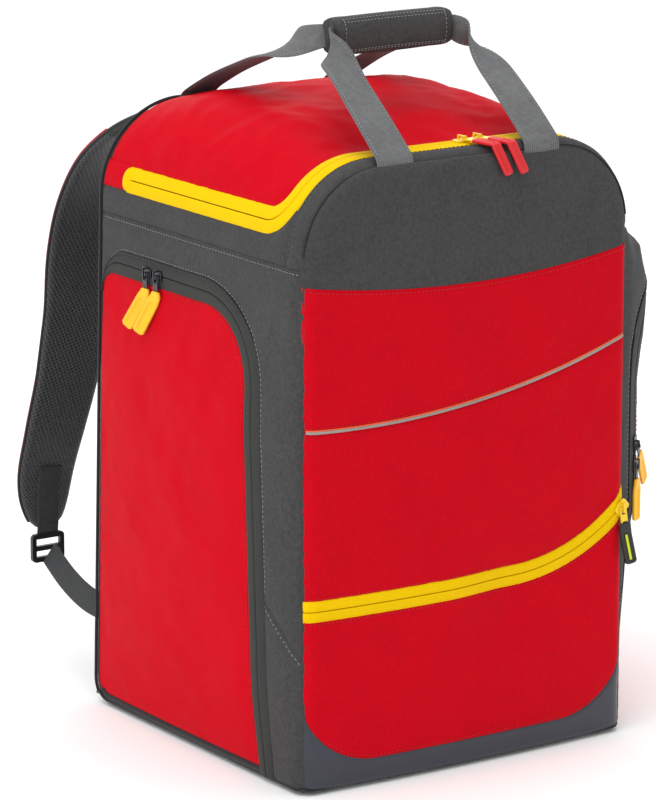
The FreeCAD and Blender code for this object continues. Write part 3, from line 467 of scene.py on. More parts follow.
def loft(name, rings, band_of=None, closed=False):
    """A closed form through rings of points, with a cloth map whose v runs along it."""
    rings = np.asarray(rings, float)
    count, around = rings.shape[:2]
    points = rings.reshape(-1, 3)
    step = np.linalg.norm(np.diff(rings, axis=0), axis=-1).mean(1)
    along = np.concatenate([[0], np.cumsum(step)]) * 0.001
    middle = np.concatenate([rings[count // 2], rings[count // 2][:1]])
    girth = np.linalg.norm(np.diff(middle, axis=0), axis=-1)
    across = np.concatenate([[0], np.cumsum(girth)]) * 0.001
    faces, uvs, bands = [], [], []
    for i in range(count - (0 if closed else 1)):
        after = (i + 1) % count
        for k in range(around):
            m = (k + 1) % around
            faces.append((i * around + k, i * around + m, after * around + m, after * around + k))
            high = along[i + 1] if i + 1 < count else along[-1] + 0.002
            uvs += [(across[k], along[i]), (across[k + 1], along[i]), (across[k + 1], high),
                    (across[k], high)]
            bands.append(band_of(k, i) if band_of else 0)
    if not closed:
        for ring, order in ((0, range(around - 1, -1, -1)), (count - 1, range(around))):
            faces.append(tuple(ring * around + k for k in order))
            uvs += [(across[k], along[ring]) for k in order]
            bands.append(band_of(0, ring) if band_of else 0)
    signed = 0.0
    for f in faces:
        p = points[list(f)]
        for k in range(1, len(f) - 1):
            signed += np.dot(p[0], np.cross(p[k], p[k + 1]))
    if signed < 0:
        starts = np.cumsum([0] + [len(f) for f in faces])
        uvs = [uvs[j] for i, f in enumerate(faces) for j in range(starts[i + 1] - 1, starts[i] - 1, -1)]
        faces = [tuple(reversed(f)) for f in faces]
    return mesh_piece(name, points, faces, uvs, bands)


def smooth_line(points, count):
    """Points spread evenly along a curve that passes through the given ones."""
    p = np.asarray(points, float)
    p = np.concatenate([[2 * p[0] - p[1]], p, [2 * p[-1] - p[-2]]])
    fine = []
    for i in range(1, len(p) - 2):
        for t in np.linspace(0, 1, 24, endpoint=False):
            a, b, c, d = p[i - 1:i + 3]
            fine.append(0.5 * (2 * b + (c - a) * t + (2 * a - 5 * b + 4 * c - d) * t * t
                               + (3 * b - 3 * c + d - a) * t ** 3))
    fine.append(p[-2])
    fine = np.array(fine)
    far = np.concatenate([[0], np.cumsum(np.linalg.norm(np.diff(fine[:, :3], axis=0), axis=1))])
    at = np.linspace(0, far[-1], count)
    return np.stack([np.interp(at, far, fine[:, k]) for k in range(fine.shape[1])], -1)


def frames(line, width_way=(1, 0, 0)):
    """For each point of a line: its direction, the way its width lies, and its face's direction."""
    ahead = np.gradient(line, axis=0)
    ahead /= np.linalg.norm(ahead, axis=1, keepdims=True)
    width = np.broadcast_to(np.asarray(width_way, float), line.shape)
    width = width - ahead * (width * ahead).sum(1, keepdims=True)
    width = width / np.linalg.norm(width, axis=1, keepdims=True)
    return ahead, width, np.cross(width, ahead)


def strap_rings(line, widths, thicks, width_way=(1, 0, 0), around=20, square=0.45):
    """Rings of a flat strap or a pad: square near nought gives flat faces, near one an ellipse."""
    _, width, face = frames(line, width_way)
    t = 2 * np.pi * (np.arange(around) + 0.5) / around
    a = np.sign(np.cos(t)) * np.abs(np.cos(t)) ** square
    b = np.sign(np.sin(t)) * np.abs(np.sin(t)) ** (square if square > 0.6 else 0.75)
    rings = []
    for i, centre in enumerate(line):
        w, h = widths[i] / 2, thicks[i] / 2
        rings.append(centre + np.outer(a * w, width[i]) + np.outer(b * h, face[i]))
    return np.array(rings)


def cord_rings(line, radius, around=10):
    """Rings of a round cord along a line."""
    _, width, face = frames(line, (0.37, 0.21, 0.9))
    t = 2 * np.pi * np.arange(around) / around
    return np.array([c + radius * (np.outer(np.cos(t), w) + np.outer(np.sin(t), f))
                     for c, w, f in zip(line, width, face)])


# ---------------------------------------------------------------- materials

def linear(code):
    """A colour written as sRGB hex, as the shader wants it."""
    values = [int(code[i:i + 2], 16) / 255 for i in (1, 3, 5)]
    return tuple(v / 12.92 if v <= 0.04045 else ((v + 0.055) / 1.055) ** 2.4 for v in values) + (1.0,)


def add(tree, kind, wires=(), **settings):
    """Adds a node, sets what it says and joins its inputs."""
    made = tree.nodes.new(kind)
    for key, value in settings.items():
        setattr(made, key, value)
    for key, value in dict(wires).items():
        if isinstance(value, bpy.types.NodeSocket):
            tree.links.new(value, made.inputs[key])
        else:
            made.inputs[key].default_value = value
    return made


def new_material(name, **shader):
    """An empty material with one shader, its inputs set from the names given."""
    material = bpy.data.materials.new(name)
    material.use_nodes = True
    tree = material.node_tree
    tree.nodes.clear()
    surface = add(tree, "ShaderNodeBsdfPrincipled", {k: v for k, v in shader.items() if k != "links"})
    out = add(tree, "ShaderNodeOutputMaterial")
    tree.links.new(surface.outputs["BSDF"], out.inputs["Surface"])
    return material, tree, surface


def bands_per_metre(period):
    """The scale of a band pattern whose period is given in millimetres."""
    return 0.31416 / (period * 0.001)


def woven(name, dark, light, thread, depth, roughness, sheen=0.25, mottle=0.35, lumps=45.0, ribs=1.0,
          grime=0.12,
          glint=0.08):
    """A plain weave on the piece's own cloth map: two crossed sets of yarn, uneven dye, a little wear."""
    material, tree, surface = new_material(name, Roughness=roughness)
    surface.inputs["Sheen Weight"].default_value = sheen
    surface.inputs["Sheen Roughness"].default_value = 0.45
    surface.inputs["Specular IOR Level"].default_value = glint
    cloth = add(tree, "ShaderNodeUVMap", uv_map="cloth").outputs["UV"]
    spot = add(tree, "ShaderNodeTexCoord").outputs["Object"]
    warp = add(tree, "ShaderNodeTexWave", {"Vector": cloth, "Scale": bands_per_metre(thread),
                                           "Distortion": 0.5,
                                           "Detail": 1.0, "Detail Scale": 1.0}, bands_direction="X")
    weft = add(tree, "ShaderNodeTexWave", {"Vector": cloth, "Scale": bands_per_metre(thread * ribs),
                                           "Distortion": 0.5,
                                           "Detail": 1.0, "Detail Scale": 1.0}, bands_direction="Y")
    weave = add(tree, "ShaderNodeMath", {0: warp.outputs["Fac"], 1: weft.outputs["Fac"]},
                operation="MULTIPLY").outputs[0]
    fleck = add(tree, "ShaderNodeTexNoise", {"Vector": spot, "Scale": 1000 / (thread * 2.2), "Detail": 2.0})
    cloud = add(tree, "ShaderNodeTexNoise", {"Vector": spot, "Scale": 1000 / lumps, "Detail": 4.0,
                                             "Roughness": 0.6})
    part = add(tree, "ShaderNodeMath", {0: weave, 1: 0.45, 2: 0.0}, operation="MULTIPLY_ADD").outputs[0]
    part = add(tree, "ShaderNodeMath", {0: fleck.outputs["Fac"], 1: mottle, 2: part},
               operation="MULTIPLY_ADD").outputs[0]
    part = add(tree, "ShaderNodeMath", {0: cloud.outputs["Fac"], 1: grime * 2.2, 2: part},
               operation="MULTIPLY_ADD").outputs[0]
    shade = add(tree, "ShaderNodeMapRange", {"Value": part, "From Min": 0.15,
                                             "From Max": 0.75}).outputs["Result"]
    colour = add(tree, "ShaderNodeMix", {"Factor": shade}, data_type="RGBA")
    colour.inputs["A"].default_value = linear(dark)
    colour.inputs["B"].default_value = linear(light)
    tree.links.new(colour.outputs["Result"], surface.inputs["Base Color"])
    height = add(tree, "ShaderNodeMath", {0: fleck.outputs["Fac"], 1: 0.5, 2: weave},
                 operation="MULTIPLY_ADD").outputs[0]
    bump = add(tree, "ShaderNodeBump", {"Height": height, "Strength": 0.55, "Distance": depth * 0.001})
    tree.links.new(bump.outputs["Normal"], surface.inputs["Normal"])
    return material


# 600-denier polyester with a plain weave: a clear, slightly pearly red with a fine grain. The yarn is
# 0.5 mm and is drawn three times as coarse, so that it shows.
RED = woven("red_polyester_600d", "#AE0516", "#D40A20", 1.6, 0.16, 0.55, sheen=0.0, mottle=0.3, grime=0.10,
            glint=0.03)
# The same cloth in heathered charcoal, two greys in the yarn: a dry, salt-and-pepper grey.
CHARCOAL = woven("charcoal_polyester_600d", "#2C2C2D", "#494848", 1.7, 0.22, 0.66, sheen=0.04, mottle=0.6,
                 lumps=60)
# Nylon taffeta lining: thin, dark and a little shiny.
LINING = woven("nylon_taffeta_lining", "#232426", "#33353A", 1.1, 0.08, 0.42, sheen=0.1)
# Zip tape of dyed polyester: a tight, even, matt yellow.
YELLOW_TAPE = woven("yellow_polyester_zip_tape", "#DDB400", "#F0CA02", 1.2, 0.07, 0.55, sheen=0.0,
                    mottle=0.2, ribs=0.8, grime=0.08, glint=0.05)
# The doors' zip tape: a dull grey with a greenish cast, tighter than the cloth beside it.
GREY_TAPE = woven("grey_polyester_zip_tape", "#2D2F2D", "#404240", 1.2, 0.09, 0.62, sheen=0.05, mottle=0.35,
                  ribs=0.8)
# Polypropylene webbing: thick yarns that show as rows of dots, mid grey.
WEBBING = woven("grey_polypropylene_webbing", "#4E4F50", "#7F8081", 2.3, 0.5, 0.6, sheen=0.06, mottle=0.3,
                ribs=0.62)
# The straps' webbing is the same in a darker dye.
DARK_WEBBING = woven("charcoal_polypropylene_webbing", "#2C2D2E", "#484A4B", 2.2, 0.45, 0.6, sheen=0.05,
                     mottle=0.3, ribs=0.62)
# Bias binding, a folded strip of plain weave over a cord: flat black, or the red of the panels.
BINDING = woven("black_bias_binding", "#1D1D1F", "#303032", 1.4, 0.12, 0.6, sheen=0.2)
RED_BINDING = woven("red_bias_binding", "#AF0816", "#D00D1E", 1.4, 0.12, 0.55, sheen=0.0, glint=0.05)


def spacer_mesh():
    """Warp-knitted polyester spacer fabric: an open black net in slanting rows, its holes darkened with
    painted shade and its ribs lightened with a painted highlight.
    """
    material, tree, surface = new_material("black_polyester_spacer_mesh", Roughness=0.5)
    surface.inputs["Sheen Weight"].default_value = 0.12
    surface.inputs["Sheen Roughness"].default_value = 0.4
    cloth = add(tree, "ShaderNodeUVMap", uv_map="cloth").outputs["UV"]
    turned = add(tree, "ShaderNodeMapping", {"Vector": cloth,
                                             "Rotation": (0.0, 0.0, math.radians(32))}).outputs["Vector"]
    rib = add(tree, "ShaderNodeTexWave", {"Vector": turned, "Scale": bands_per_metre(4.2),
                                          "Distortion": 1.2, "Detail": 1.0,
                                          "Detail Scale": 2.0}, bands_direction="X")
    tie = add(tree, "ShaderNodeTexWave", {"Vector": turned, "Scale": bands_per_metre(3.0),
                                          "Distortion": 1.0, "Detail": 1.0,
                                          "Detail Scale": 2.0}, bands_direction="Y")
    net = add(tree, "ShaderNodeMath", {0: rib.outputs["Fac"], 1: tie.outputs["Fac"]},
              operation="MAXIMUM").outputs[0]
    net = add(tree, "ShaderNodeMapRange", {"Value": net, "From Min": 0.55,
                                           "From Max": 0.95}).outputs["Result"]
    # painted shade and highlight: near black in the holes, where the open net is in shade, and lighter grey
    # on the ribs as a painted highlight
    colour = add(tree, "ShaderNodeMix", {"Factor": net}, data_type="RGBA")
    colour.inputs["A"].default_value = linear("#0E0E10")
    colour.inputs["B"].default_value = linear("#3E3E42")
    tree.links.new(colour.outputs["Result"], surface.inputs["Base Color"])
    bump = add(tree, "ShaderNodeBump", {"Height": net, "Strength": 0.8, "Distance": 0.0009})
    tree.links.new(bump.outputs["Normal"], surface.inputs["Normal"])
    return material


def coated(name, dark, light, roughness, grain, depth, coat=0.0):
    """A coated or moulded surface: a fine pebble, broad uneven sheen, and scuffs."""
    material, tree, surface = new_material(name)
    surface.inputs["Coat Weight"].default_value = coat
    surface.inputs["Coat Roughness"].default_value = 0.25
    spot = add(tree, "ShaderNodeTexCoord").outputs["Object"]
    pebble = add(tree, "ShaderNodeTexNoise", {"Vector": spot, "Scale": 1000 / grain,
                                              "Detail": 3.0}).outputs["Fac"]
    cloud = add(tree, "ShaderNodeTexNoise", {"Vector": spot, "Scale": 22.0, "Detail": 4.0}).outputs["Fac"]
    colour = add(tree, "ShaderNodeMix", {"Factor": cloud}, data_type="RGBA")
    colour.inputs["A"].default_value = linear(dark)
    colour.inputs["B"].default_value = linear(light)
    tree.links.new(colour.outputs["Result"], surface.inputs["Base Color"])
    gloss = add(tree, "ShaderNodeMapRange", {"Value": cloud, "From Min": 0.3, "From Max": 0.7,
                                             "To Min": roughness - 0.06,
                                             "To Max": roughness + 0.08}).outputs["Result"]
    tree.links.new(gloss, surface.inputs["Roughness"])
    bump = add(tree, "ShaderNodeBump", {"Height": pebble, "Strength": 0.5, "Distance": depth * 0.001})
    tree.links.new(bump.outputs["Normal"], surface.inputs["Normal"])
    return material


MESH = spacer_mesh()
# PVC tarpaulin on the skirt and the base: blue-black, rubbery, with broad soft highlights.
TARPAULIN = coated("pvc_tarpaulin", "#161B27", "#262D3C", 0.36, 1.8, 0.10, coat=0.2)
# Moulded rubber pull tags: smooth and satin.
YELLOW_TAG = coated("moulded_yellow_rubber", "#F0A800", "#FFC400", 0.42, 2.5, 0.05)
RED_TAG = coated("moulded_red_rubber", "#BE0E18", "#D8131E", 0.42, 2.5, 0.05)
BLACK_TAG = coated("moulded_black_rubber", "#121214", "#1E1F22", 0.45, 2.5, 0.05)
LIME_STRIP = coated("moulded_lime_rubber", "#B9C60A", "#D2DF1C", 0.45, 2.5, 0.05)
# Acetal buckles, moulded black: a low even gloss.
ACETAL = coated("moulded_black_acetal", "#141416", "#222225", 0.38, 1.2, 0.06)
# Polyethylene board that stiffens the floor: waxy grey.
BOARD = coated("grey_polyethylene_board", "#4A4B4D", "#606163", 0.5, 3.0, 0.08)
# Reflective tape over a cord: glass beads that read as a warm satin grey, with a dull orange edge above.
REFLECTIVE = coated("reflective_glass_bead_tape", "#6E6A66", "#A29C95", 0.3, 0.8, 0.05)
ORANGE_EDGE = coated("orange_tape_edge", "#D9481A", "#E8602A", 0.5, 1.5, 0.05)
# Bonded nylon sewing thread: smooth and a little shiny, close to the cloth it sews.
THREAD_PALE = coated("pale_grey_bonded_thread", "#7E7E7E", "#A3A3A3", 0.6, 0.8, 0.05)
THREAD_RED = coated("red_bonded_thread", "#A80D16", "#C8131D", 0.6, 0.8, 0.05)
THREAD_DARK = coated("dark_bonded_thread", "#232325", "#343436", 0.6, 0.8, 0.05)


def metal(name, dark, light, roughness, metallic, coat=0.0):
    """Die-cast zinc, plated or enamelled: worn a little brighter here and there."""
    material, tree, surface = new_material(name, Metallic=metallic)
    surface.inputs["Coat Weight"].default_value = coat
    spot = add(tree, "ShaderNodeTexCoord").outputs["Object"]
    wear = add(tree, "ShaderNodeTexNoise", {"Vector": spot, "Scale": 450.0, "Detail": 3.0}).outputs["Fac"]
    colour = add(tree, "ShaderNodeMix", {"Factor": wear}, data_type="RGBA")
    colour.inputs["A"].default_value = linear(dark)
    colour.inputs["B"].default_value = linear(light)
    tree.links.new(colour.outputs["Result"], surface.inputs["Base Color"])
    gloss = add(tree, "ShaderNodeMapRange", {"Value": wear, "To Min": roughness - 0.08,
                                             "To Max": roughness + 0.1}).outputs["Result"]
    tree.links.new(gloss, surface.inputs["Roughness"])
    bump = add(tree, "ShaderNodeBump", {"Height": wear, "Strength": 0.2, "Distance": 0.0001})
    tree.links.new(bump.outputs["Normal"], surface.inputs["Normal"])
    return material


# Gunmetal plating on die-cast zinc: near black with sharp glints.
GUNMETAL = metal("gunmetal_plated_zinc", "#2A2A2C", "#6A6A6E", 0.3, 1.0)
# Stoved enamel on die-cast zinc: an even, glossy yellow.
YELLOW_ENAMEL = metal("yellow_enamelled_zinc", "#E3B900", "#F6D40A", 0.35, 0.0, coat=0.4)
# The coil of a zip, nylon monofilament: dark and slightly shiny.
COIL = coated("black_nylon_coil", "#161617", "#29292B", 0.4, 0.8, 0.04)


# ---------------------------------------------------------------- what repeats: stitches and coil teeth

def beads_tree():
    """Beads laid end to end along a path: stitches or coil turns, sized and spaced by its inputs."""
    tree = bpy.data.node_groups.new("beads_along_path", "GeometryNodeTree")
    face = tree.interface
    face.new_socket("Path", in_out="INPUT", socket_type="NodeSocketGeometry")
    for label, value in (("Pitch", 0.0045), ("Long", 0.003), ("Wide", 0.0008)):
        face.new_socket(label, in_out="INPUT", socket_type="NodeSocketFloat").default_value = value
    face.new_socket("Finish", in_out="INPUT", socket_type="NodeSocketMaterial")
    face.new_socket("Beads", in_out="OUTPUT", socket_type="NodeSocketGeometry")
    start = add(tree, "NodeGroupInput").outputs
    line = add(tree, "GeometryNodeMeshToCurve", {"Mesh": start["Path"]}).outputs["Curve"]
    spaced = add(tree, "GeometryNodeResampleCurve", {"Curve": line, "Length": start["Pitch"]},
                 mode="LENGTH").outputs["Curve"]
    ahead = add(tree, "GeometryNodeInputTangent").outputs["Tangent"]
    turn = add(tree, "FunctionNodeAlignEulerToVector", {"Vector": ahead}, axis="X").outputs["Rotation"]
    bead = add(tree, "GeometryNodeMeshIcoSphere", {"Radius": 0.5, "Subdivisions": 1}).outputs["Mesh"]
    size = add(tree, "ShaderNodeCombineXYZ", {"X": start["Long"], "Y": start["Wide"],
                                              "Z": start["Wide"]}).outputs["Vector"]
    laid_out = add(tree, "GeometryNodeInstanceOnPoints", {"Points": spaced, "Instance": bead,
                                                          "Rotation": turn,
                                                          "Scale": size}).outputs["Instances"]
    real = add(tree, "GeometryNodeRealizeInstances", {"Geometry": laid_out}).outputs["Geometry"]
    soft = add(tree, "GeometryNodeSetShadeSmooth", {"Geometry": real}).outputs["Geometry"]
    done = add(tree, "GeometryNodeSetMaterial", {"Geometry": soft,
                                                 "Material": start["Finish"]}).outputs["Geometry"]
    add(tree, "NodeGroupOutput", {"Beads": done})
    return tree


BEADS = beads_tree()
SOCKETS = {item.name: item.identifier for item in BEADS.interface.items_tree if item.in_out == "INPUT"}


def beads(name, paths, body, finish, pitch=4.6, long=3.2, wide=0.85):
    """Stitches or coil teeth along paths of points in millimetres, made a plain mesh."""
    points, edges = [], []
    for path in paths:
        first = len(points)
        points += (np.asarray(path) * 0.001).tolist()
        edges += [(first + i, first + i + 1) for i in range(len(path) - 1)]
    mesh = bpy.data.meshes.new(name + "_path")
    mesh.from_pydata(points, edges, [])
    holder = bpy.data.objects.new(name + "_path", mesh)
    bpy.context.scene.collection.objects.link(holder)
    nodes = holder.modifiers.new("beads", "NODES")
    nodes.node_group = BEADS
    for label, value in (("Pitch", pitch * 0.001), ("Long", long * 0.001), ("Wide", wide * 0.001),
                         ("Finish", finish)):
        nodes[SOCKETS[label]] = value
    bpy.context.view_layer.update()
    solid = bpy.data.meshes.new_from_object(holder.evaluated_get(bpy.context.evaluated_depsgraph_get()))
    holder.modifiers.clear()
    bpy.data.objects.remove(holder)
    solid.name = name
    made = bpy.data.objects.new(name, solid)
    bpy.context.scene.collection.objects.link(made)
    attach(made, body)
    return made


# ---------------------------------------------------------------- the front

def grey_seam(x):
    """The seam between the red front and the grey top, which dips in the middle."""
    return SEAM - 15 * np.clip(1 - np.abs(np.asarray(x, float) / HALF) ** 2, 0, 1)


def across(height, x0, x1, step=4.0):
    """A line across the front at a height that varies with x."""
    x = run((x0, 0), (x1, 0), step)[:, 0]
    return np.stack([x, height(x)], -1)


window = np.concatenate([
    bend((-107, 115), 88, 180 + math.degrees(math.acos(83 / 88)), 270, 20),
    run((-107, 27), (107, 27))[1:], bend((107, 115), 88, 270, 360 - math.degrees(math.acos(83 / 88)), 20)])
arch_front = np.concatenate([bend((-FLAT, 510), SHOULDER, 180, 90, 34), run((-FLAT, 598), (FLAT, 598))[1:],
                             bend((FLAT, 510), SHOULDER, 90, 0, 34)])
over_zip = pocket_line(POCKET_TAPE)
under_zip = pocket_line(-POCKET_TAPE)
piping_run = across(piping_height, -HALF, HALF)

def front_cloth(name, lines, cloth, slot, node, seed, crumpled):
    """A panel of the front, cut to lines laid end to end round it."""
    cloth_panel(name, np.concatenate(lines), FACE, front_swell, "bag", [cloth, LINING], slot, [node],
                seed=seed, crumpled=crumpled)


front_cloth("front_top_cloth",
            [across(grey_seam, -HALF, HALF), [(HALF, SEAM)], run((HALF, SEAM), (HALF, 510))[1:],
             arch_front[::-1], run((-HALF, 510), (-HALF, SEAM))[1:]],
            CHARCOAL, "charcoal_polyester", "front_top_panel", seed=2, crumpled=2.0)
front_cloth("front_upper_cloth",
            [piping_run, run((HALF, 404), (HALF, SEAM)), across(grey_seam, HALF, -HALF),
             run((-HALF, SEAM), (-HALF, 353))],
            RED, "red_polyester", "front_upper_panel", seed=3, crumpled=2.3)
front_cloth("front_middle_cloth",
            [over_zip, run(over_zip[-1], (HALF, 404))[1:], piping_run[::-1],
             run((-HALF, 353), over_zip[0])[1:]],
            RED, "red_polyester", "front_middle_panel", seed=4, crumpled=2.4)
front_cloth("front_lower_cloth",
            [window, run(window[-1], under_zip[-1])[1:], under_zip[::-1],
             run(under_zip[0], window[0])[1:]],
            RED, "red_polyester", "front_lower_panel", seed=5, crumpled=2.0)
front_cloth("front_skirt_cloth",
            [run((-HALF, 4), (HALF, 4)), run((HALF, 4), window[-1]), window[::-1],
             run(window[0], (-HALF, 4))[1:]],
            TARPAULIN, "coated_skirt_fabric", "front_skirt", seed=6, crumpled=0.8)


def laid_tube(name, line, wall, swell, radius, lift, body, material, slot, nodes=(), around=10):
    """A cord sewn along a line on a wall."""
    base, out = laid(wall, line[:, 0], line[:, 1])
    centre = base + out * (swell(line[:, 0], line[:, 1], np.zeros(len(line))) + lift)[:, None]
    return finish_piece(loft(name, cord_rings(rounded(centre), radius, around)), body, [material], slot,
                        nodes)


laid_tube("reflective_piping_cord", piping_run[1:-1], FACE, front_swell, 1.5, 0.4, "bag", REFLECTIVE,
          "reflective_tape", ["reflective_piping"])
# a thin black cord along the seam where the front meets the arch: painted shadow, a dark line standing in for
# the shade at that seam
laid_tube("arch_seam_shadow_cord", arch_front[2:-2], FACE, lambda u, v, gap: 0 * u, 1.0, 0.7, "bag", BINDING,
          "piping_cord", around=8)
laid_tube("piping_orange_edge", piping_run[1:-1] + np.array([0, 1.9]), FACE, front_swell, 0.8, 0.3, "bag",
          ORANGE_EDGE, "piping_cord")

# ---------------------------------------------------------------- zips

TAPE_ACROSS = (0.35, 0.35, 0.9, 2.2, 4.5, 8.0, 11.4, 13.0, 13.0, 8.0, 3.0)
TAPE_HIGH = (-1.3, 0.6, 1.2, 1.5, 1.25, 0.95, 0.4, -0.8, -1.9, -1.6, -1.5)


def zip_half(name, line_of, wall, way, body, material, slot, nodes, swell=None, narrow=1.0):
    """One tape of a zip, swept along its line: its flat, its rolled inner edge and its coil teeth."""
    rings = []
    for across_at, high in zip(TAPE_ACROSS, TAPE_HIGH):
        line = line_of(way * across_at * narrow)
        base, out = laid(wall, line[:, 0], line[:, 1])
        stand = high + (swell(line[:, 0], line[:, 1], 0) if swell else 0)
        rings.append(rounded(base + out * np.reshape(stand, (-1, 1) if np.ndim(stand) else (1, 1))))
    line = line_of(way * 0.75)
    base, out = laid(wall, line[:, 0], line[:, 1])
    stand = -0.5 + (swell(line[:, 0], line[:, 1], 0) if swell else 0)
    teeth = rounded(base + out * np.reshape(stand, (-1, 1) if np.ndim(stand) else (1, 1)))
    rings = np.array(rings).transpose(1, 0, 2)
    finish_piece(loft(name, rings), body, [material], slot, nodes)
    beads(name + "_coil", [teeth], body, COIL, pitch=1.5, long=0.8, wide=1.5)


zip_half("pocket_zip_upper_tape", pocket_line, FACE, 1, "bag", YELLOW_TAPE, "yellow_zip",
         ["front_pocket_zip"], front_swell,
         POCKET_TAPE / TAPE)
zip_half("pocket_zip_lower_tape", pocket_line, FACE, -1, "bag", YELLOW_TAPE, "yellow_zip", [], front_swell,
         POCKET_TAPE / TAPE)
zip_half("lid_zip_upper_tape", lid_line, TOP, 1, "lid", YELLOW_TAPE, "yellow_zip", ["lid_zip_upper_half"])
zip_half("lid_zip_lower_tape", lid_line, TOP, -1, "bag", YELLOW_TAPE, "yellow_zip", ["lid_zip_lower_half"])
for side, wall in (("left", LEFT), ("right", RIGHT)):
    for which, way, body in (("inner", 1, f"{side}_door"), ("outer", -1, "bag")):
        zip_half(f"{side}_door_zip_{which}_tape", lambda o, side=side: door_line(side, o), wall, way, body,
                 GREY_TAPE,
                 "charcoal_zip", [f"{side}_door_zip_{which}_half"],
                 lambda u, v, gap, side=side: SWELLS[side](u, v))


def tape_end(name, wall):
    """The lid zip's tape, folded over and sewn down behind its last tooth."""
    t = np.linspace(-math.pi / 2, math.pi / 2, 17)
    tip = np.stack([ZIP_END + 1 + 8 * np.cos(t), ZIP_Z + 11.4 * np.sin(t)], -1)
    outline = np.concatenate([tip, run((ZIP_END - 5, ZIP_Z + 11.4), (ZIP_END - 5, ZIP_Z - 11.4), 3)])
    cloth_panel(name, outline, wall, lambda u, v, gap: 1.7 * (1 - np.exp(-gap / 2)) + 1.0, "bag",
                [YELLOW_TAPE, YELLOW_TAPE],
                "yellow_zip", thick=1.6, step=3, crumpled=0.1)


# ---------------------------------------------------------------- the flanks

def pad_out(depth, low, high, under, reach=16.0, power=2.6):
    """A swell that fills a panel and dies away at its seams, on top of the bulge of the whole wall."""
    return lambda u, v, gap: (depth * pillow(u, v, low, high, power) * (1 - np.exp(-gap / reach))
                              + under(u, v))


def seamed(depth, under, reach=12.0):
    """An even swell inside the seams, on top of the bulge of the whole wall."""
    return lambda u, v, gap: depth * (1 - np.exp(-gap / reach)) + under(u, v)


def even_swell(depth, reach=12.0):
    """The same swell all over, dying away at the seams."""
    return lambda u, v, gap: depth * (1 - np.exp(-gap / reach))


def back_edge(low, high):
    """Up the rear edge of a flank, which leans forward."""
    z = run((low, 0), (high, 0))[:, 0]
    return np.stack([back_y(z), z], -1)


PATCH_FOOT, PATCH_HEAD = np.array([-FRONT, 132.0]), np.array([-80.0, 228.0])
PATCH_RUN, PATCH_RISE = PATCH_HEAD - PATCH_FOOT


def patch_height(y):
    """Height of the slanting seam between the gusset and the corner patch below it."""
    return PATCH_FOOT[1] + (y - PATCH_FOOT[0]) * PATCH_RISE / PATCH_RUN


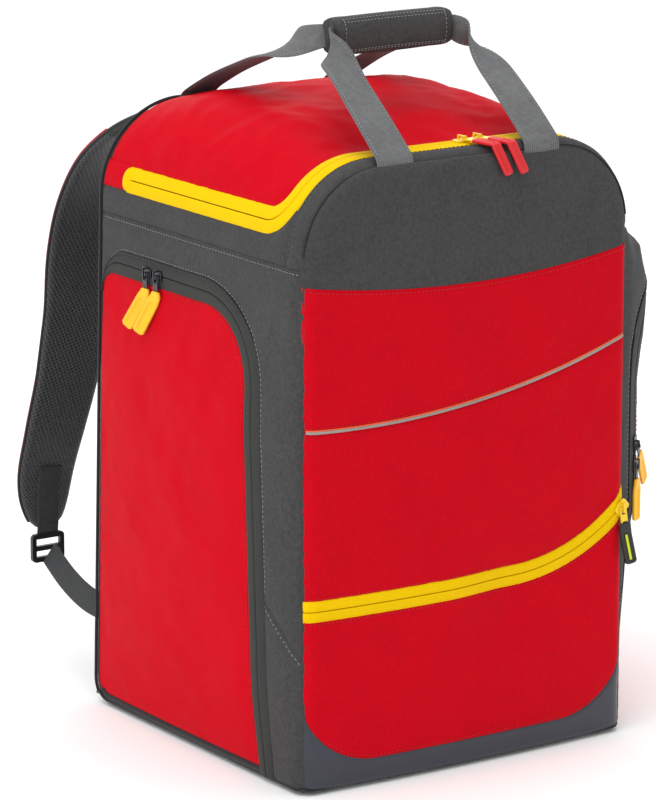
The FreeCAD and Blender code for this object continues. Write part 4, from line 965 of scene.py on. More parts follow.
for side, wall, top, number in (("left", LEFT, LEFT, 11), ("right", RIGHT, RIGHT_TOP, 21)):
    under = SWELLS[side]
    frame_line = door_line(side, -TAPE)
    z_cross = next(p[1] for p in frame_line if p[1] > patch_height(p[0]))
    y_cross = door_front(side, z_cross) - TAPE
    z_cross = patch_height(y_cross)
    upper = frame_line[frame_line[:, 1] > z_cross]
    rise = frame_line[(frame_line[:, 1] < z_cross) & (frame_line[:, 0] < 0)]
    heel_low = upper[-1]
    gusset = np.concatenate([
        run(PATCH_FOOT, (-FRONT, GUSSET_SEAM)),
        run((-FRONT, GUSSET_SEAM), (back_y(GUSSET_SEAM), GUSSET_SEAM)),
        back_edge(heel_low[1], GUSSET_SEAM)[::-1], upper[::-1], run((y_cross, z_cross), PATCH_FOOT)])
    cloth_panel(f"{side}_gusset_cloth", gusset, wall, seamed(2.2, under), "bag", [CHARCOAL, LINING],
                "charcoal_polyester", [f"{side}_front_gusset"], seed=number, crumpled=2.5)
    patch = np.concatenate([
        run((-FRONT, 4), PATCH_FOOT), run(PATCH_FOOT, (y_cross, z_cross)), [(y_cross, z_cross)], rise[::-1],
        run((rise[0][0], 4), (-FRONT, 4))])
    cloth_panel(f"{side}_patch_cloth", patch, wall, seamed(2.0, under), "bag", [CHARCOAL, LINING],
                "charcoal_polyester", [f"{side}_corner_patch"], seed=number + 1, crumpled=2.0)
    door = door_outline(side, TAPE)
    padding = pad_out(3.5 if side == "left" else 6.0, door.min(0), door.max(0), under)
    cloth_panel(f"{side}_door_cloth", door, wall, padding, f"{side}_door", [RED, LINING], "red_polyester",
                [f"{side}_door_panel"], seed=number + 2, crumpled=2.9, step=7)
    foot_front = door_front(side, 8) - TAPE
    sill = closed_run((foot_front, 4), (back_y(4), 4), (back_y(SILL), SILL), (foot_front, SILL))
    cloth_panel(f"{side}_sill_cloth", sill, wall, lambda u, v, gap, under=under: under(u, v) - 0.3, "bag",
                [BINDING, LINING], "charcoal_polyester", seed=number + 6, crumpled=0.3, step=4, thick=1.6)
    gusset_top = np.concatenate([
        bend((ZIP_Y + ZIP_BEND, ZIP_Z + ZIP_BEND), ZIP_BEND + TAPE, 180, 270, 18),
        run((ZIP_Y + ZIP_BEND, 532), (ZIP_END, 532))[1:],
        run((ZIP_END, 532), (back_y(532), 532)), back_edge(GUSSET_SEAM, 532)[::-1],
        run((back_y(GUSSET_SEAM), GUSSET_SEAM), (-158, GUSSET_SEAM)),
        run((-158, GUSSET_SEAM), (-158, 573))])
    shoulder = ((lambda y, z: BULGE * 0.2 * right_plan(y) * smooth(545, GUSSET_SEAM, z)) if side == "right"
                else (lambda y, z: 0 * y))
    cloth_panel(f"{side}_top_gusset_cloth", gusset_top, top, seamed(2.2, shoulder), "bag",
                [CHARCOAL, LINING], "charcoal_polyester", [f"{side}_top_gusset"], seed=number + 3,
                crumpled=1.9)
    rear_corner = np.concatenate([
        run((ZIP_END, 532), (back_y(532), 532)), back_edge(532, 557),
        run((back_y(557), 557), (ZIP_END, 557)), run((ZIP_END, 557), (ZIP_END, 532))])
    cloth_panel(f"{side}_rear_corner_cloth", rear_corner, top, even_swell(1.6), "bag", [RED, LINING],
                "red_polyester", [f"{side}_rear_corner"], seed=number + 4, crumpled=0.8, step=5)
    tape_end(f"{side}_lid_zip_end", top)
    edge_line = door_line(side, -TAPE - 0.6)
    base, out = laid(wall, edge_line[:, 0], edge_line[:, 1])
    finish_piece(loft(f"{side}_door_frame_cord", cord_rings(rounded(base + out * 0.7), 1.1, 8)), "bag",
                 [BINDING], "piping_cord")

# ---------------------------------------------------------------- the top

s_front, s_back = float(arch_s(-FRONT, GUSSET_SEAM)), float(arch_s(-158.0, GUSSET_SEAM))
band_outline = closed_run((-s_front, -FRONT), (s_front, -FRONT), (s_back, -158), (-s_back, -158))
cloth_panel("front_top_band_cloth", band_outline, TOP, even_swell(1.2, 6), "bag", [CHARCOAL, LINING],
            "charcoal_polyester", ["front_top_band"], seed=31, crumpled=1.0)


def lid_edge():
    """The lid panel's left edge on the arch, from the hinge to the front corner."""
    y = run((162, 0), (ZIP_END, 0))[:, 0]
    rear = np.stack([-arch_s(y, np.full_like(y, 557)), y], -1)
    y = run((ZIP_END, 0), (ZIP_Y + ZIP_BEND, 0))[:, 0]
    side = np.stack([-arch_s(y, np.full_like(y, 554)), y], -1)
    corner = bend((ZIP_Y + ZIP_BEND, ZIP_Z + ZIP_BEND), ZIP_BEND - TAPE, 270, 180, 12)
    return np.concatenate([rear, side, np.stack([-arch_s(corner[:, 0], corner[:, 1]), corner[:, 0]], -1)])


lid_left_edge = lid_edge()
lid_right_edge = lid_left_edge[::-1] * np.array([-1, 1])


def lid_dome(s, y, gap):
    """The padded lid's dome, with a shallow fold either side of the middle near the front."""
    lean = 1 + 0.12 * np.clip(-s / 150, -1, 1)
    dome = 22.5 * lean * pillow(s, y, (-212, -136), (212, 164), 2.6) * (1 - np.exp(-gap / 22))
    fold = (-2.2 * np.exp(-((np.abs(s) - 84 - 0.12 * (y + 136)) / 11) ** 2)
            * smooth(-136, -60, y) * smooth(40, -40, y))
    return dome + fold


lid_outline = np.concatenate([lid_left_edge, run(lid_left_edge[-1], lid_right_edge[0])[1:], lid_right_edge,
                              run(lid_right_edge[-1], lid_left_edge[0])[1:]])
cloth_panel("lid_cloth", lid_outline, TOP, lid_dome, "lid", [RED, LINING], "red_polyester", ["lid_panel"],
            seed=33, crumpled=4.4, step=6.5)

# ---------------------------------------------------------------- back and base

IN = 3.0                            # the back panel stops this far inside the piping round it
arch_back = np.concatenate([bend((-FLAT, 522), SHOULDER - IN, 180, 90, 34),
                            run((-FLAT, 610 - IN), (FLAT, 610 - IN))[1:],
                            bend((FLAT, 522), SHOULDER - IN, 90, 0, 34)])
back_outline = np.concatenate([
    run((IN - HALF, 4.2), (HALF - IN, 4.2)), run((HALF - IN, 4.2), (HALF - IN, 522)), arch_back[::-1],
    run((IN - HALF, 522), (IN - HALF, 4.2))[1:]])
cloth_panel("back_cloth", back_outline, BACK, even_swell(1.8, 18), "bag", [CHARCOAL, LINING],
            "charcoal_polyester", ["back_panel"], seed=41, crumpled=1.0, step=9, thick=4.6)


def channels(x, z, gap):
    """Back padding: a soft pad with sewn channels."""
    full = 9.5 * (1 - np.exp(-(gap / 11) ** 1.3))
    rows = np.exp(-(((z - 85) % 105 - 52) / 3.6) ** 2) * (np.abs(x) < 140)
    sewn = np.exp(-((np.abs(x) - 52) / 3.6) ** 2) + rows
    return full * (1 - 0.62 * np.clip(sewn, 0, 1)) + 0.4


pad_outline = np.concatenate([bend((-110, 110), 40, 180, 270, 14), run((-110, 70), (110, 70))[1:],
                              bend((110, 110), 40, 270, 360, 14),
                              run((150, 110), (150, 480))[1:], bend((110, 480), 40, 0, 90, 14),
                              run((110, 520), (-110, 520))[1:],
                              bend((-110, 480), 40, 90, 180, 14), run((-150, 480), (-150, 110))[1:]])
back_pad = cloth_panel("back_pad_cloth", pad_outline, BACK, channels, "bag", [MESH, MESH], "spacer_mesh",
                       ["back_padding"], seed=43, crumpled=0.7, step=4.5, thick=3.0, soft_edges=False)


def base_wall(x, y):
    """The flat base."""
    return np.stack([x, y, np.zeros_like(x)], -1)


base_outline = closed_run((-HALF, -FRONT), (HALF, -FRONT), (HALF, 193), (-HALF, 193))
cloth_panel("base_cloth", base_outline, (base_wall, -1), lambda u, v, gap: -1.6 + 0 * u, "bag",
            [TARPAULIN, LINING], "coated_skirt_fabric", ["base_panel"], seed=45, crumpled=0.35, step=12,
            thick=2.2)
ring = closed_run((-HALF, -FRONT), (HALF, -FRONT), (HALF, 192), (-HALF, 192))
ring = rounded(np.concatenate([ring, np.full((len(ring), 1), 5.0)], -1))
finish_piece(loft("base_piping_cord", cord_rings(ring, 1.9, 8), closed=True), "bag", [BINDING],
             "piping_cord")
PIPING_X = HALF + 0.2
top_z = 522 + PIPING_X - FLAT
back_line = np.concatenate([run((-PIPING_X, 8), (-PIPING_X, 522)),
                            bend((-FLAT, 522), PIPING_X - FLAT, 180, 90, 40),
                            run((-FLAT, top_z), (FLAT, top_z))[1:],
                            bend((FLAT, 522), PIPING_X - FLAT, 90, 0, 40),
                            run((PIPING_X, 522), (PIPING_X, 8))[1:]])
back_line = rounded(np.stack([back_line[:, 0], back_y(back_line[:, 1]) + 2.0, back_line[:, 1]], -1))
finish_piece(loft("back_piping_cord", cord_rings(back_line, 1.7, 10)), "bag", [BINDING], "piping_cord",
             ["back_piping"])

# ---------------------------------------------------------------- inside

def pocket_wall(x, z):
    """The wall between the front pocket and the boots."""
    return np.stack([x, np.full_like(x, -156.2), z], -1)


inner = HALF - 4.5
cloth_panel("pocket_lining_cloth", np.concatenate([run((-inner, 4.5), (inner, 4.5)),
                                                   run((inner, 4.5), (inner, SEAM)),
            run((inner, SEAM), (-inner, SEAM)), run((-inner, SEAM), (-inner, 4.5))]), (pocket_wall, 1),
            even_swell(0.6),
            "bag", [LINING, LINING], "lining_fabric", ["front_pocket_wall"], seed=51, crumpled=0.8, step=14,
            thick=1.6,
            soft_edges=False)


def sleeve(sign):
    """A boot sleeve: an upright wall that turns outwards into a roof, as a wall to lay cloth on."""
    corner = 462.0

    def place(t, y):
        turn = np.clip((t - corner) / 12, 0, math.pi / 2)
        out = np.maximum(t - corner - 12 * math.pi / 2, 0)
        x = 70.5 + 12 * (1 - np.cos(turn)) + out
        z = np.minimum(t, corner) + 12 * np.sin(turn) - 0.0006 * out * np.maximum(116 - out, 0)
        return np.stack([sign * x, y, z - 1.0], -1)
    return place


for side, sign in (("left", -1), ("right", 1)):
    far = 462 + 12 * math.pi / 2 + (inner - 82.5)
    rear = 163.0
    cloth_panel(f"{side}_sleeve_cloth", np.concatenate([
        run((9, -152), (far, -152), 12), run((far, -152), (far, rear), 12),
        run((far, rear), (9, rear + 18), 12),
        run((9, rear + 18), (9, -152), 12)]), (sleeve(sign), -sign), even_swell(0.4), "bag",
        [LINING, LINING],
        "lining_fabric", [f"{side}_boot_sleeve"], seed=53, crumpled=0.6, step=14, thick=1.4,
        soft_edges=False)

# ---------------------------------------------------------------- the carrying handle

LEGS = {
    "front": [(84, -181.5, 589), (84, -180.5, 599), (84, -168, 611), (83.5, -136, 637), (82, -100, 664),
              (79, -73, 683),
              (71, -57.5, 692.5), (60, -54.2, 694), (48, -54, 694)],
    "rear": [(84, 160, 606), (84, 156, 614.5), (84, 140, 624), (83, 100, 643), (81.5, 40, 666),
             (79, -6, 684),
             (71, -33, 692.5), (60, -41.5, 694), (48, -42, 694)],
}
LEG_WIDTHS = [41, 41, 41, 40, 37, 31, 24, 21, 20]


def webbing_leg(name, points, sign, body, node):
    """One leg of the handle, flat at its foot and turned upright where it enters the grip."""
    count = 46
    table = smooth_line([(sign * x, y, z, w) for (x, y, z), w in zip(points, LEG_WIDTHS)], count)
    line, widths = table[:, :3], table[:, 3]
    turn = smooth(0.52, 0.95, np.linspace(0, 1, count))[:, None]
    way = np.array([1.0, 0, 0]) * (1 - turn) + np.array([0, 0.25, 1.0]) * sign * -turn
    rings = strap_rings(line, widths, np.full(count, 2.0), way, around=18, square=0.3)
    finish_piece(loft(name, rings), body, [WEBBING], "grey_webbing", node)
    _, width, face = frames(line, way)
    paths = []
    for edge in (-1, 1):
        for high in (-1, 1):
            aside = width[4:-8] * (edge * (widths[4:-8, None] / 2 - 3))
            paths.append(line[4:-8] + aside + face[4:-8] * high * 1.15)
    beads(name + "_stitches", paths, body, THREAD_PALE, pitch=4.2, long=2.9, wide=0.7)


for which, body in (("front", "front_loop"), ("rear", "rear_loop")):
    for side, sign in (("left", -1), ("right", 1)):
        webbing_leg(f"{which}_{side}_leg_webbing", LEGS[which], sign, body,
                    [f"{which}_handle_webbing"] if side == "left" else [])


def grip_half(name, way, body, node):
    """One half of the padded wrap round the handle: a soft shell, flat where it meets the other half."""
    count, around = 45, 22
    x = np.linspace(-67, 67, count)
    rings = []
    for i, at in enumerate(x):
        end = 1 - 0.13 * np.exp(-((67 - abs(at)) / 4) ** 1.2)
        groove = 1 - 0.05 * math.exp(-((66 - abs(at) - 7) / 1.6) ** 2)
        t = np.linspace(-math.pi / 2, math.pi / 2, around)
        sag = 1.5 * math.cos(at / 66 * math.pi / 2) * (-1 if way > 0 else 0.4)
        depth = 14.4 * end * groove * np.abs(np.cos(t)) ** 0.62
        tall = 18.2 * end * np.sign(np.sin(t)) * np.abs(np.sin(t)) ** 0.8
        wave = 0.5 * math.sin(at / 13.0 + way) * np.abs(np.cos(t))
        y = -48 + way * (0.6 + depth + wave)
        rings.append(np.stack([np.full(around, at), y, 694 + tall + sag], -1))
    made = finish_piece(loft(name, rings), body, [CHARCOAL], "grip_fabric", [node])
    rings = np.array(rings)
    paths = [np.array([rings[i, k] + np.array([0, way * 0.35, 0]) for i in range(3, count - 3)])
             for k in (5, 6, around - 6, around - 4)]
    ends = [rings[i, 4:-4] + np.array([0, way * 0.4, 0]) for i in (3, count - 4)]
    beads(name + "_stitches", paths + ends, body, THREAD_PALE, pitch=3.8, long=2.7, wide=0.7)


grip_half("front_grip_cloth", -1, "front_loop", "front_grip_half")
grip_half("rear_grip_cloth", 1, "rear_loop", "rear_grip_half")

# ---------------------------------------------------------------- shoulder straps

STRAP_LINE = [(-92, 172, 588), (-92, 206, 586), (-92, 262, 562), (-93, 316, 524), (-95, 352, 474),
              (-100, 364, 420), (-112, 352, 356), (-130, 338, 300), (-144, 340, 244), (-150, 352, 190),
              (-150, 354, 140)]
STRAP_WIDTHS = [56, 62, 67, 70, 70, 70, 70, 70, 68, 62, 44]
LOWER_WEB = [(-174, 193.5, 92), (-170, 236, 96), (-160, 296, 104), (-151, 344, 113)]
STRAP_TOP = 14


def strap(side, sign):
    """A shoulder strap: its pad with bound edges, the tape at its end and the webbing below."""
    count, around = 84, 28
    table = smooth_line([(sign * -x, y, z, w) for (x, y, z), w in zip(STRAP_LINE, STRAP_WIDTHS)], count)
    line, widths = table[:, :3], table[:, 3].copy()
    tip = np.clip((count - 1 - np.arange(count)) / 5, 0, 1)
    widths *= 0.55 + 0.45 * np.sqrt(1 - (1 - tip) ** 2)
    along = np.arange(count)
    thick = 12.4 + 0.8 * np.sin(along / 3.1) * (along > STRAP_TOP)
    thick = np.where(along < 3, 7 + along * 1.8, thick) * (0.6 + 0.4 * np.sqrt(1 - (1 - tip) ** 2))
    _, width, face = frames(line)
    rings = strap_rings(line, widths, thick, around=around, square=0.5)
    outer = 1 if face[count // 2][1] > 0 else -1

    def band(k, i):
        t = math.sin(2 * math.pi * (k + 1) / around) * outer
        if i < STRAP_TOP:
            return 1
        return 2 if t > 0.2 else 0
    made = finish_piece(loft(f"{side}_strap_pad", rings, band), "bag", [MESH, CHARCOAL, RED], "strap_mesh",
                        [f"{side}_shoulder_pad"])
    binding = []
    for edge in (-1, 1):
        path = line + width * (edge * (widths[:, None] / 2 - 0.3)) + face * outer * 1.2
        finish_piece(loft(f"{side}_strap_binding_{'in' if edge < 0 else 'out'}",
                          cord_rings(path[1:-1], 2.1, 9)), "bag",
                     [BINDING], "piping_cord")
        path = line + width * (edge * (widths[:, None] / 2 - 0.6)) + face * outer * 3.4
        finish_piece(loft(f"{side}_strap_red_edge_{'in' if edge < 0 else 'out'}",
                          cord_rings(path[STRAP_TOP:-2], 1.4, 8)), "bag",
                     [RED_BINDING], "red_polyester")
        aside = width * (edge * (widths[:, None] / 2 - 5))
        binding.append(line + aside - face * outer * (thick[:, None] * 0.44))
    beads(f"{side}_strap_stitches", [b[2:-4] for b in binding], "bag", THREAD_DARK, pitch=4.4, long=3.1,
          wide=0.8)
    # the box of tape that holds the lower webbing's loop, near the strap's end
    table = smooth_line([(sign * -x, y, z) for x, y, z in STRAP_LINE[-3:]], 20)
    box = table[7:19]
    box = box + frames(box)[2] * outer * -6.4
    finish_piece(loft(f"{side}_strap_tape", strap_rings(box, np.full(len(box), 25.0),
                                                        np.full(len(box), 2.2), around=14, square=0.3)),
                 "bag", [DARK_WEBBING], "grey_webbing")
    web = smooth_line([(sign * -x, y, z) for x, y, z in LOWER_WEB], 30)
    sag = -5 * np.sin(np.linspace(0, math.pi, 30))
    web[:, 2] += sag
    rings = strap_rings(web, np.full(30, 25.0), np.full(30, 1.9), (sign * -0.5, 0, 1), around=14,
                        square=0.3)
    finish_piece(loft(f"{side}_strap_webbing", rings), "bag", [DARK_WEBBING], "grey_webbing",
                 [f"{side}_lower_webbing"])
    # the loop of webbing from the strap's tape down to the buckle
    short = smooth_line([(sign * 150, 347.6, 152), (sign * 150, 348.6, 140), (sign * 150, 350, 130.5)], 8)
    finish_piece(loft(f"{side}_buckle_loop", strap_rings(short, np.full(8, 25.0), np.full(8, 2.0),
                                                         around=14, square=0.3)), "bag",
                 [DARK_WEBBING], "grey_webbing")


strap("left", -1)
strap("right", 1)

# ---------------------------------------------------------------- pulls

def pierced_plate(outline, holes, thick):
    """A flat plate with holes, in its own frame: the metal tab of a pull."""
    rings = [np.asarray(outline, float)] + [np.asarray(h, float) for h in holes]
    points, edges = [], []
    for ring in rings:
        first = len(points)
        points += ring.tolist()
        edges += [(first + i, first + (i + 1) % len(ring)) for i in range(len(ring))]
    flat, _, faces, _, _, _ = delaunay_2d_cdt([Vector(p) for p in points], edges, [], 0, 1e-6)
    flat = np.array([tuple(p) for p in flat])
    kept = []
    for f in faces:
        centre = flat[list(f)].mean(0)[None]
        if inside(centre, rings[0])[0] and not any(inside(centre, h)[0] for h in rings[1:]):
            a, b, c = flat[list(f)]
            turn = (b[0] - a[0]) * (c[1] - a[1]) - (b[1] - a[1]) * (c[0] - a[0])
            kept.append(tuple(f) if turn > 0 else tuple(reversed(f)))
    n = len(flat)
    solid = np.concatenate([np.c_[flat, np.full(n, thick / 2)], np.c_[flat, np.full(n, -thick / 2)]])
    directed = {(f[i], f[(i + 1) % 3]) for f in kept for i in range(3)}
    rim = sorted((i, j) for i, j in directed if (j, i) not in directed)
    faces = kept + [tuple(n + i for i in reversed(f)) for f in kept] + [(j, i, i + n, j + n) for i,
                                                                        j in rim]
    return solid, faces


def rounded_box(x0, x1, y0, y1, r, count=5):
    """A box with round corners, as an outline."""
    return np.concatenate([bend((x1 - r, y1 - r), r, 0, 90, count),
                           bend((x0 + r, y1 - r), r, 90, 180, count),
                           bend((x0 + r, y0 + r), r, 180, 270, count),
                           bend((x1 - r, y0 + r), r, 270, 360, count)])


def placed(points, pivot, hang, outward):
    """Points of a pull's own frame (across, up against its hang, out) put where the pull hangs."""
    x, up, out = np.cross(outward, hang), -np.asarray(hang), np.asarray(outward)
    return np.asarray(pivot) + points[:, :1] * x + points[:, 1:2] * up + points[:, 2:3] * out


TAB_LONG, TAB_WIDE = 21.0, 8.0
UP = 1 / math.hypot(1, 14 / 390)
LID_OUT = np.array([0, -UP * 14 / 390, UP])
LID_HANG = np.array([0.3, -UP, -UP * 14 / 390])
LID_HANG = LID_HANG / np.linalg.norm(LID_HANG)
RIGHT_OUT = np.array([38, -46, 0]) / math.hypot(38, 46)
RIGHT_BACK = np.array([46, 38, 0]) / math.hypot(38, 46)
SLANT = (np.array([0, 0, -1]) + 0.75 * RIGHT_BACK)
SLANT = SLANT / np.linalg.norm(SLANT)
POCKET_HANG = np.array([0.14, 0, -1]) / math.hypot(0.14, 1)
# pull: its pivot, hanging and outward directions, tag length, straight part, droop in degrees, fan
# in degrees
PULLS = {
    "lid_left": ((16, -147.16, 603.63), LID_HANG, LID_OUT, 56, 25, 64, 10, YELLOW_ENAMEL, RED_TAG, None,
                 "yellow_enamel", "red_pull"),
    "lid_right": ((34, -147.16, 603.63), LID_HANG, LID_OUT, 56, 25, 64, 10, YELLOW_ENAMEL, RED_TAG, None,
                  "yellow_enamel", "red_pull"),
    "left_door_front": ((-194.45, 62, 459), (0, 0, -1), (-1, 0, 0), 46, 5, -16, -22, GUNMETAL, YELLOW_TAG,
                        None, "dark_metal", "yellow_pull"),
    "left_door_rear": ((-194.45, 81, 459), (0, 0, -1), (-1, 0, 0), 46, 5, -13, -29, GUNMETAL, YELLOW_TAG,
                       None, "dark_metal", "yellow_pull"),
    "right_door_lower": ((219.47, -161.43, 262), (0, 0, -1), RIGHT_OUT, 42, 12, 0, 0, GUNMETAL, YELLOW_TAG,
                         None, "dark_metal", "yellow_pull"),
    "right_door_upper": ((219.47, -161.43, 282), SLANT, RIGHT_OUT, 42, 12, 0, 0, GUNMETAL, YELLOW_TAG, None,
                         "dark_metal", "yellow_pull"),
    "pocket": ((181.97, -188.45, 228.75), POCKET_HANG, (0, -1, 0), 42, 12, -9, 0, YELLOW_ENAMEL, BLACK_TAG,
               LIME_STRIP, "yellow_enamel", "black_pull"),
}
tab_solid, tab_faces = pierced_plate(rounded_box(-TAB_WIDE / 2, TAB_WIDE / 2, 0.7 - TAB_LONG, 0.7, 1.6), [
    rounded_box(-2.5, 2.5, -7.0, -0.7, 0.8), rounded_box(-2.7, 2.7, 2.7 - TAB_LONG, 6.7 - TAB_LONG, 0.7)],
    1.4)


# how far the loose tags turn about their own length, in degrees, to lie with their faces forwards
TWIST = {"left_door_front": 30, "left_door_rear": 24, "right_door_lower": -14, "right_door_upper": -8}


def tag_rings(path, slot_from, slot_to, twist, wide=13.0, thick=3.2):
    """A moulded tag along a path in the pull's own frame, with rounded ends and a long recess on its face."""
    path = np.asarray(path, float)
    _, width, face = frames(path)
    if face[0][2] < 0:
        face = -face
    turn = np.radians(twist * smooth(0, 0.3, np.linspace(0, 1, len(path))))[:, None]
    width, face = width * np.cos(turn) - face * np.sin(turn), face * np.cos(turn) + width * np.sin(turn)
    count = len(path)
    share = np.linspace(0, 1, count)
    profile = [(-0.5, -0.3), (-0.5, 0.3), (-0.42, 0.5), (-0.24, 0.5), (-0.17, 0.1), (0.17, 0.1),
               (0.24, 0.5), (0.42, 0.5),
               (0.5, 0.3), (0.5, -0.3), (0.42, -0.5), (-0.42, -0.5)]
    rings = []
    for i in range(count):
        end = min(share[i], 1 - share[i]) * (count - 1)
        narrow = 0.62 + 0.38 * math.sqrt(1 - (1 - min(end / 2.2, 1)) ** 2)
        slotted = slot_from < share[i] < slot_to
        ring = []
        for a, b in profile:
            if not slotted and b == 0.1:
                b = 0.5
            ring.append(path[i] + width[i] * a * wide * narrow + face[i] * b * thick * (0.8 + 0.2 * narrow))
        rings.append(ring)
    return np.array(rings)


for name, (pivot, hang, outward, tag_long, straight, droop, fan, enamel, rubber, strip, tab_slot,
           tag_slot) in PULLS.items():
    hang, outward = np.array(hang, float), np.array(outward, float)
    body = f"{name}_pull_body"
    tab = mesh_piece(f"{name}_pull_tab", placed(tab_solid, pivot, hang, outward), tab_faces,
                     smooth_faces=False)
    soft = tab.modifiers.new("soft edges", "BEVEL")
    soft.width, soft.segments, soft.limit_method, soft.angle_limit = 0.0003, 2, "ANGLE", math.radians(40)
    finish_piece(tab, body, [enamel], tab_slot, [f"{name}_pull"])
    head = 0.7 - TAB_LONG + 5.2
    first = [(0, head - t, 0.15) for t in np.linspace(0, straight, 5)]
    d, lean = math.radians(droop), math.radians(fan)
    rest = [(math.sin(lean) * t, head - straight - math.cos(d) * math.cos(lean) * t, -math.sin(d) * t)
            for t in np.linspace(3, tag_long - straight, 6)]
    path = smooth_line(first + rest, 34)
    rings = tag_rings(path, 0.26, 0.93, TWIST.get(name, 0), 12.4 if name.startswith("lid") else 13.4)
    spun = placed(rings.reshape(-1, 3), pivot, hang, outward).reshape(rings.shape)
    finish_piece(loft(f"{name}_pull_tag", spun), body, [rubber], tag_slot)
    if strip:
        inner_path = path[10:31]
        out = frames(inner_path)[2]
        if out[0][2] < 0:
            out = -out
        bars = strap_rings(inner_path + out * 0.75, np.full(21, 3.0), np.full(21, 0.9), around=10,
                           square=0.4)
        bars = placed(bars.reshape(-1, 3), pivot, hang, outward).reshape(bars.shape)
        finish_piece(loft(f"{name}_pull_strip", bars), body, [strip], tag_slot)

# ---------------------------------------------------------------- CAD nodes that stay, with their finish

for node, material in (("base_board", BOARD), ("left_ladder_lock", ACETAL), ("right_ladder_lock", ACETAL),
                       *((f"{n}_slider", YELLOW_ENAMEL if n in ("lid_left", "lid_right",
                                                                "pocket") else GUNMETAL) for n in PULLS)):
    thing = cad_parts[node]
    thing.data.materials.clear()
    thing.data.materials.append(material)

# ---------------------------------------------------------------- stitched seams

def shifted(line, by):
    """A line moved as a whole."""
    return np.asarray(line, float) + np.asarray(by, float)


x_run = np.arange(-HALF + 5, HALF - 4, 5.0)
seams = [on_panel("front_upper_cloth", np.stack([x_run, grey_seam(x_run) - 3.4], -1)),
         on_panel("front_upper_cloth", np.stack([x_run, piping_height(x_run) + 4.0], -1))]
beads("front_red_stitches", seams, "bag", THREAD_RED)
beads("front_zip_stitches", [on_panel("front_middle_cloth", pocket_line(POCKET_TAPE + 3.2)[2:-2]),
                             on_panel("front_lower_cloth", pocket_line(-POCKET_TAPE - 3.2)[2:-2])], "bag",
                             THREAD_RED)
beads("skirt_stitches", [on_panel("front_lower_cloth", shifted(window[8:-8], (0, 3.2)))], "bag", THREAD_RED)
for side in ("left", "right"):
    y_run = np.arange(-FRONT + 7, back_y(GUSSET_SEAM) - 4, 5.0)
    low = on_panel(f"{side}_gusset_cloth", np.stack([y_run, np.full_like(y_run, GUSSET_SEAM - 3.6)], -1))
    t = np.linspace(0.04, 0.96, 14)[:, None]
    head_y = door_front(side, 170) - TAPE
    head = np.array([head_y, patch_height(head_y)])
    patch = on_panel(f"{side}_patch_cloth", PATCH_FOOT + (head - PATCH_FOOT) * t + np.array([1.6, -3.4]))
    frame_run = door_line(side, -TAPE - 4.2)
    frame_run = frame_run[(frame_run[:, 1] > 190)][:-2]
    around_door = on_panel(f"{side}_gusset_cloth", frame_run)
    beads(f"{side}_gusset_stitches", [low, patch, around_door], "bag", THREAD_PALE, pitch=4.8, wide=0.75)
    inner_run = door_line(side, TAPE + 3.4)[3:-2]
    beads(f"{side}_door_stitches", [on_panel(f"{side}_door_cloth", inner_run)], f"{side}_door", THREAD_RED)
band_run = np.arange(-235, 236, 5.0)
beads("band_stitches", [on_panel("front_top_band_cloth",
                                 np.stack([band_run, np.full_like(band_run, -163.0)], -1))], "bag",
      THREAD_DARK, pitch=4.8, wide=0.75)

# ---------------------------------------------------------------- floor, light and camera

floor = mesh_piece("floor", [(-6000, -6000, -0.3), (6000, -6000, -0.3), (6000, 6000, -0.3),
                             (-6000, 6000, -0.3)], [(0, 1, 2, 3)])
floor_material, _, floor_surface = new_material("plain_pale_floor", Roughness=0.95)
floor_surface.inputs["Base Color"].default_value = linear("#FCFCFC")
floor_surface.inputs["Specular IOR Level"].default_value = 0.1
floor.data.materials.append(floor_material)

world = bpy.data.worlds.new("studio")
bpy.context.scene.world = world
world.use_nodes = True
world.node_tree.nodes["Background"].inputs["Color"].default_value = (1.0, 1.0, 1.0, 1.0)
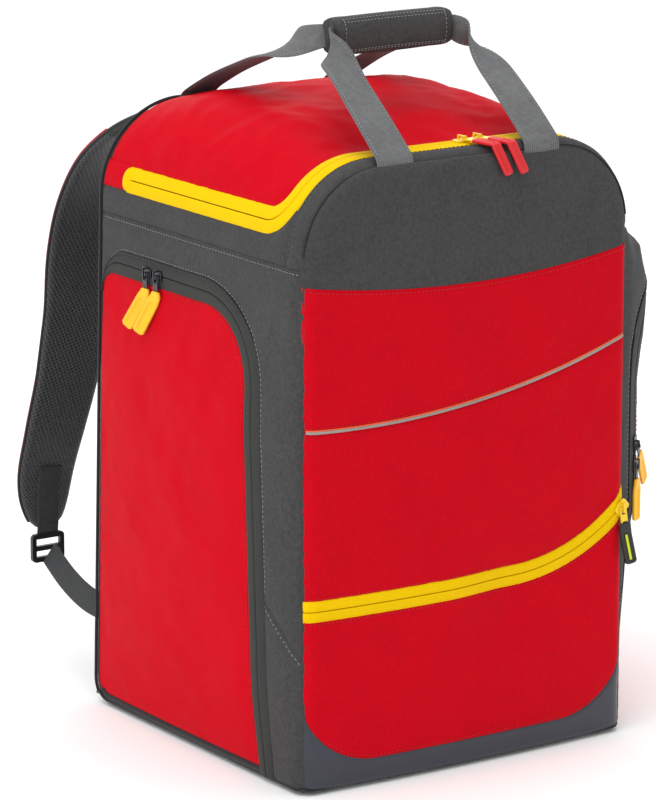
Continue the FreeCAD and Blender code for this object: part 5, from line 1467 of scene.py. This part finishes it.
# brighter towards the horizon than overhead
sky_way = add(world.node_tree, "ShaderNodeTexCoord").outputs["Generated"]
sky_height = add(world.node_tree, "ShaderNodeSeparateXYZ", {"Vector": sky_way}).outputs["Z"]
sky_fade = add(world.node_tree, "ShaderNodeMapRange", {"Value": sky_height, "From Min": 0.08,
                                                       "From Max": 0.45, "To Min": 1.03,
                                                       "To Max": 0.78}).outputs["Result"]
world.node_tree.links.new(sky_fade, world.node_tree.nodes["Background"].inputs["Strength"])


def softbox(name, place, target, size, power):
    """An area lamp that faces a target."""
    lamp = bpy.data.lights.new(name, "AREA")
    lamp.shape, lamp.size, lamp.size_y, lamp.energy = "RECTANGLE", size[0], size[1], power
    held = bpy.data.objects.new(name, lamp)
    held.location = place
    held.rotation_euler = (Vector(target) - Vector(place)).to_track_quat("-Z", "Y").to_euler()
    bpy.context.scene.collection.objects.link(held)


softbox("key", (-0.9, -3.0, 2.4), (0, 0, 0.3), (1.6, 1.6), 3)
softbox("side_fill", (-3.0, -0.4, 1.2), (0, 0, 0.3), (1.4, 2.0), 16)
softbox("top", (0.3, 0.3, 3.2), (0, 0, 0.5), (2.0, 2.0), 26)
softbox("rear", (1.5, 3.0, 2.0), (0, 0, 0.4), (1.6, 1.6), 8)

sky = bpy.data.lights.new("window", "SUN")
sky.energy, sky.angle = 1.0, math.radians(50)
window_light = bpy.data.objects.new("window", sky)
window_light.rotation_euler = Vector((-0.5, -0.2, 0.85)).to_track_quat("Z", "Y").to_euler()
bpy.context.scene.collection.objects.link(window_light)

lens = bpy.data.cameras.new("camera")
lens.sensor_width, lens.lens = 36.0, 206.5
lens.clip_start, lens.clip_end = 0.1, 50.0
camera = bpy.data.objects.new("camera", lens)
camera.location = (-2.4638, -3.6032, 1.3740)
camera.rotation_euler = (Vector((-0.01935, 0.02556,
                                 0.32065)) - camera.location).to_track_quat("-Z", "Y").to_euler()
bpy.context.scene.collection.objects.link(camera)
bpy.context.scene.camera = camera
bpy.context.scene.view_settings.view_transform = "Standard"
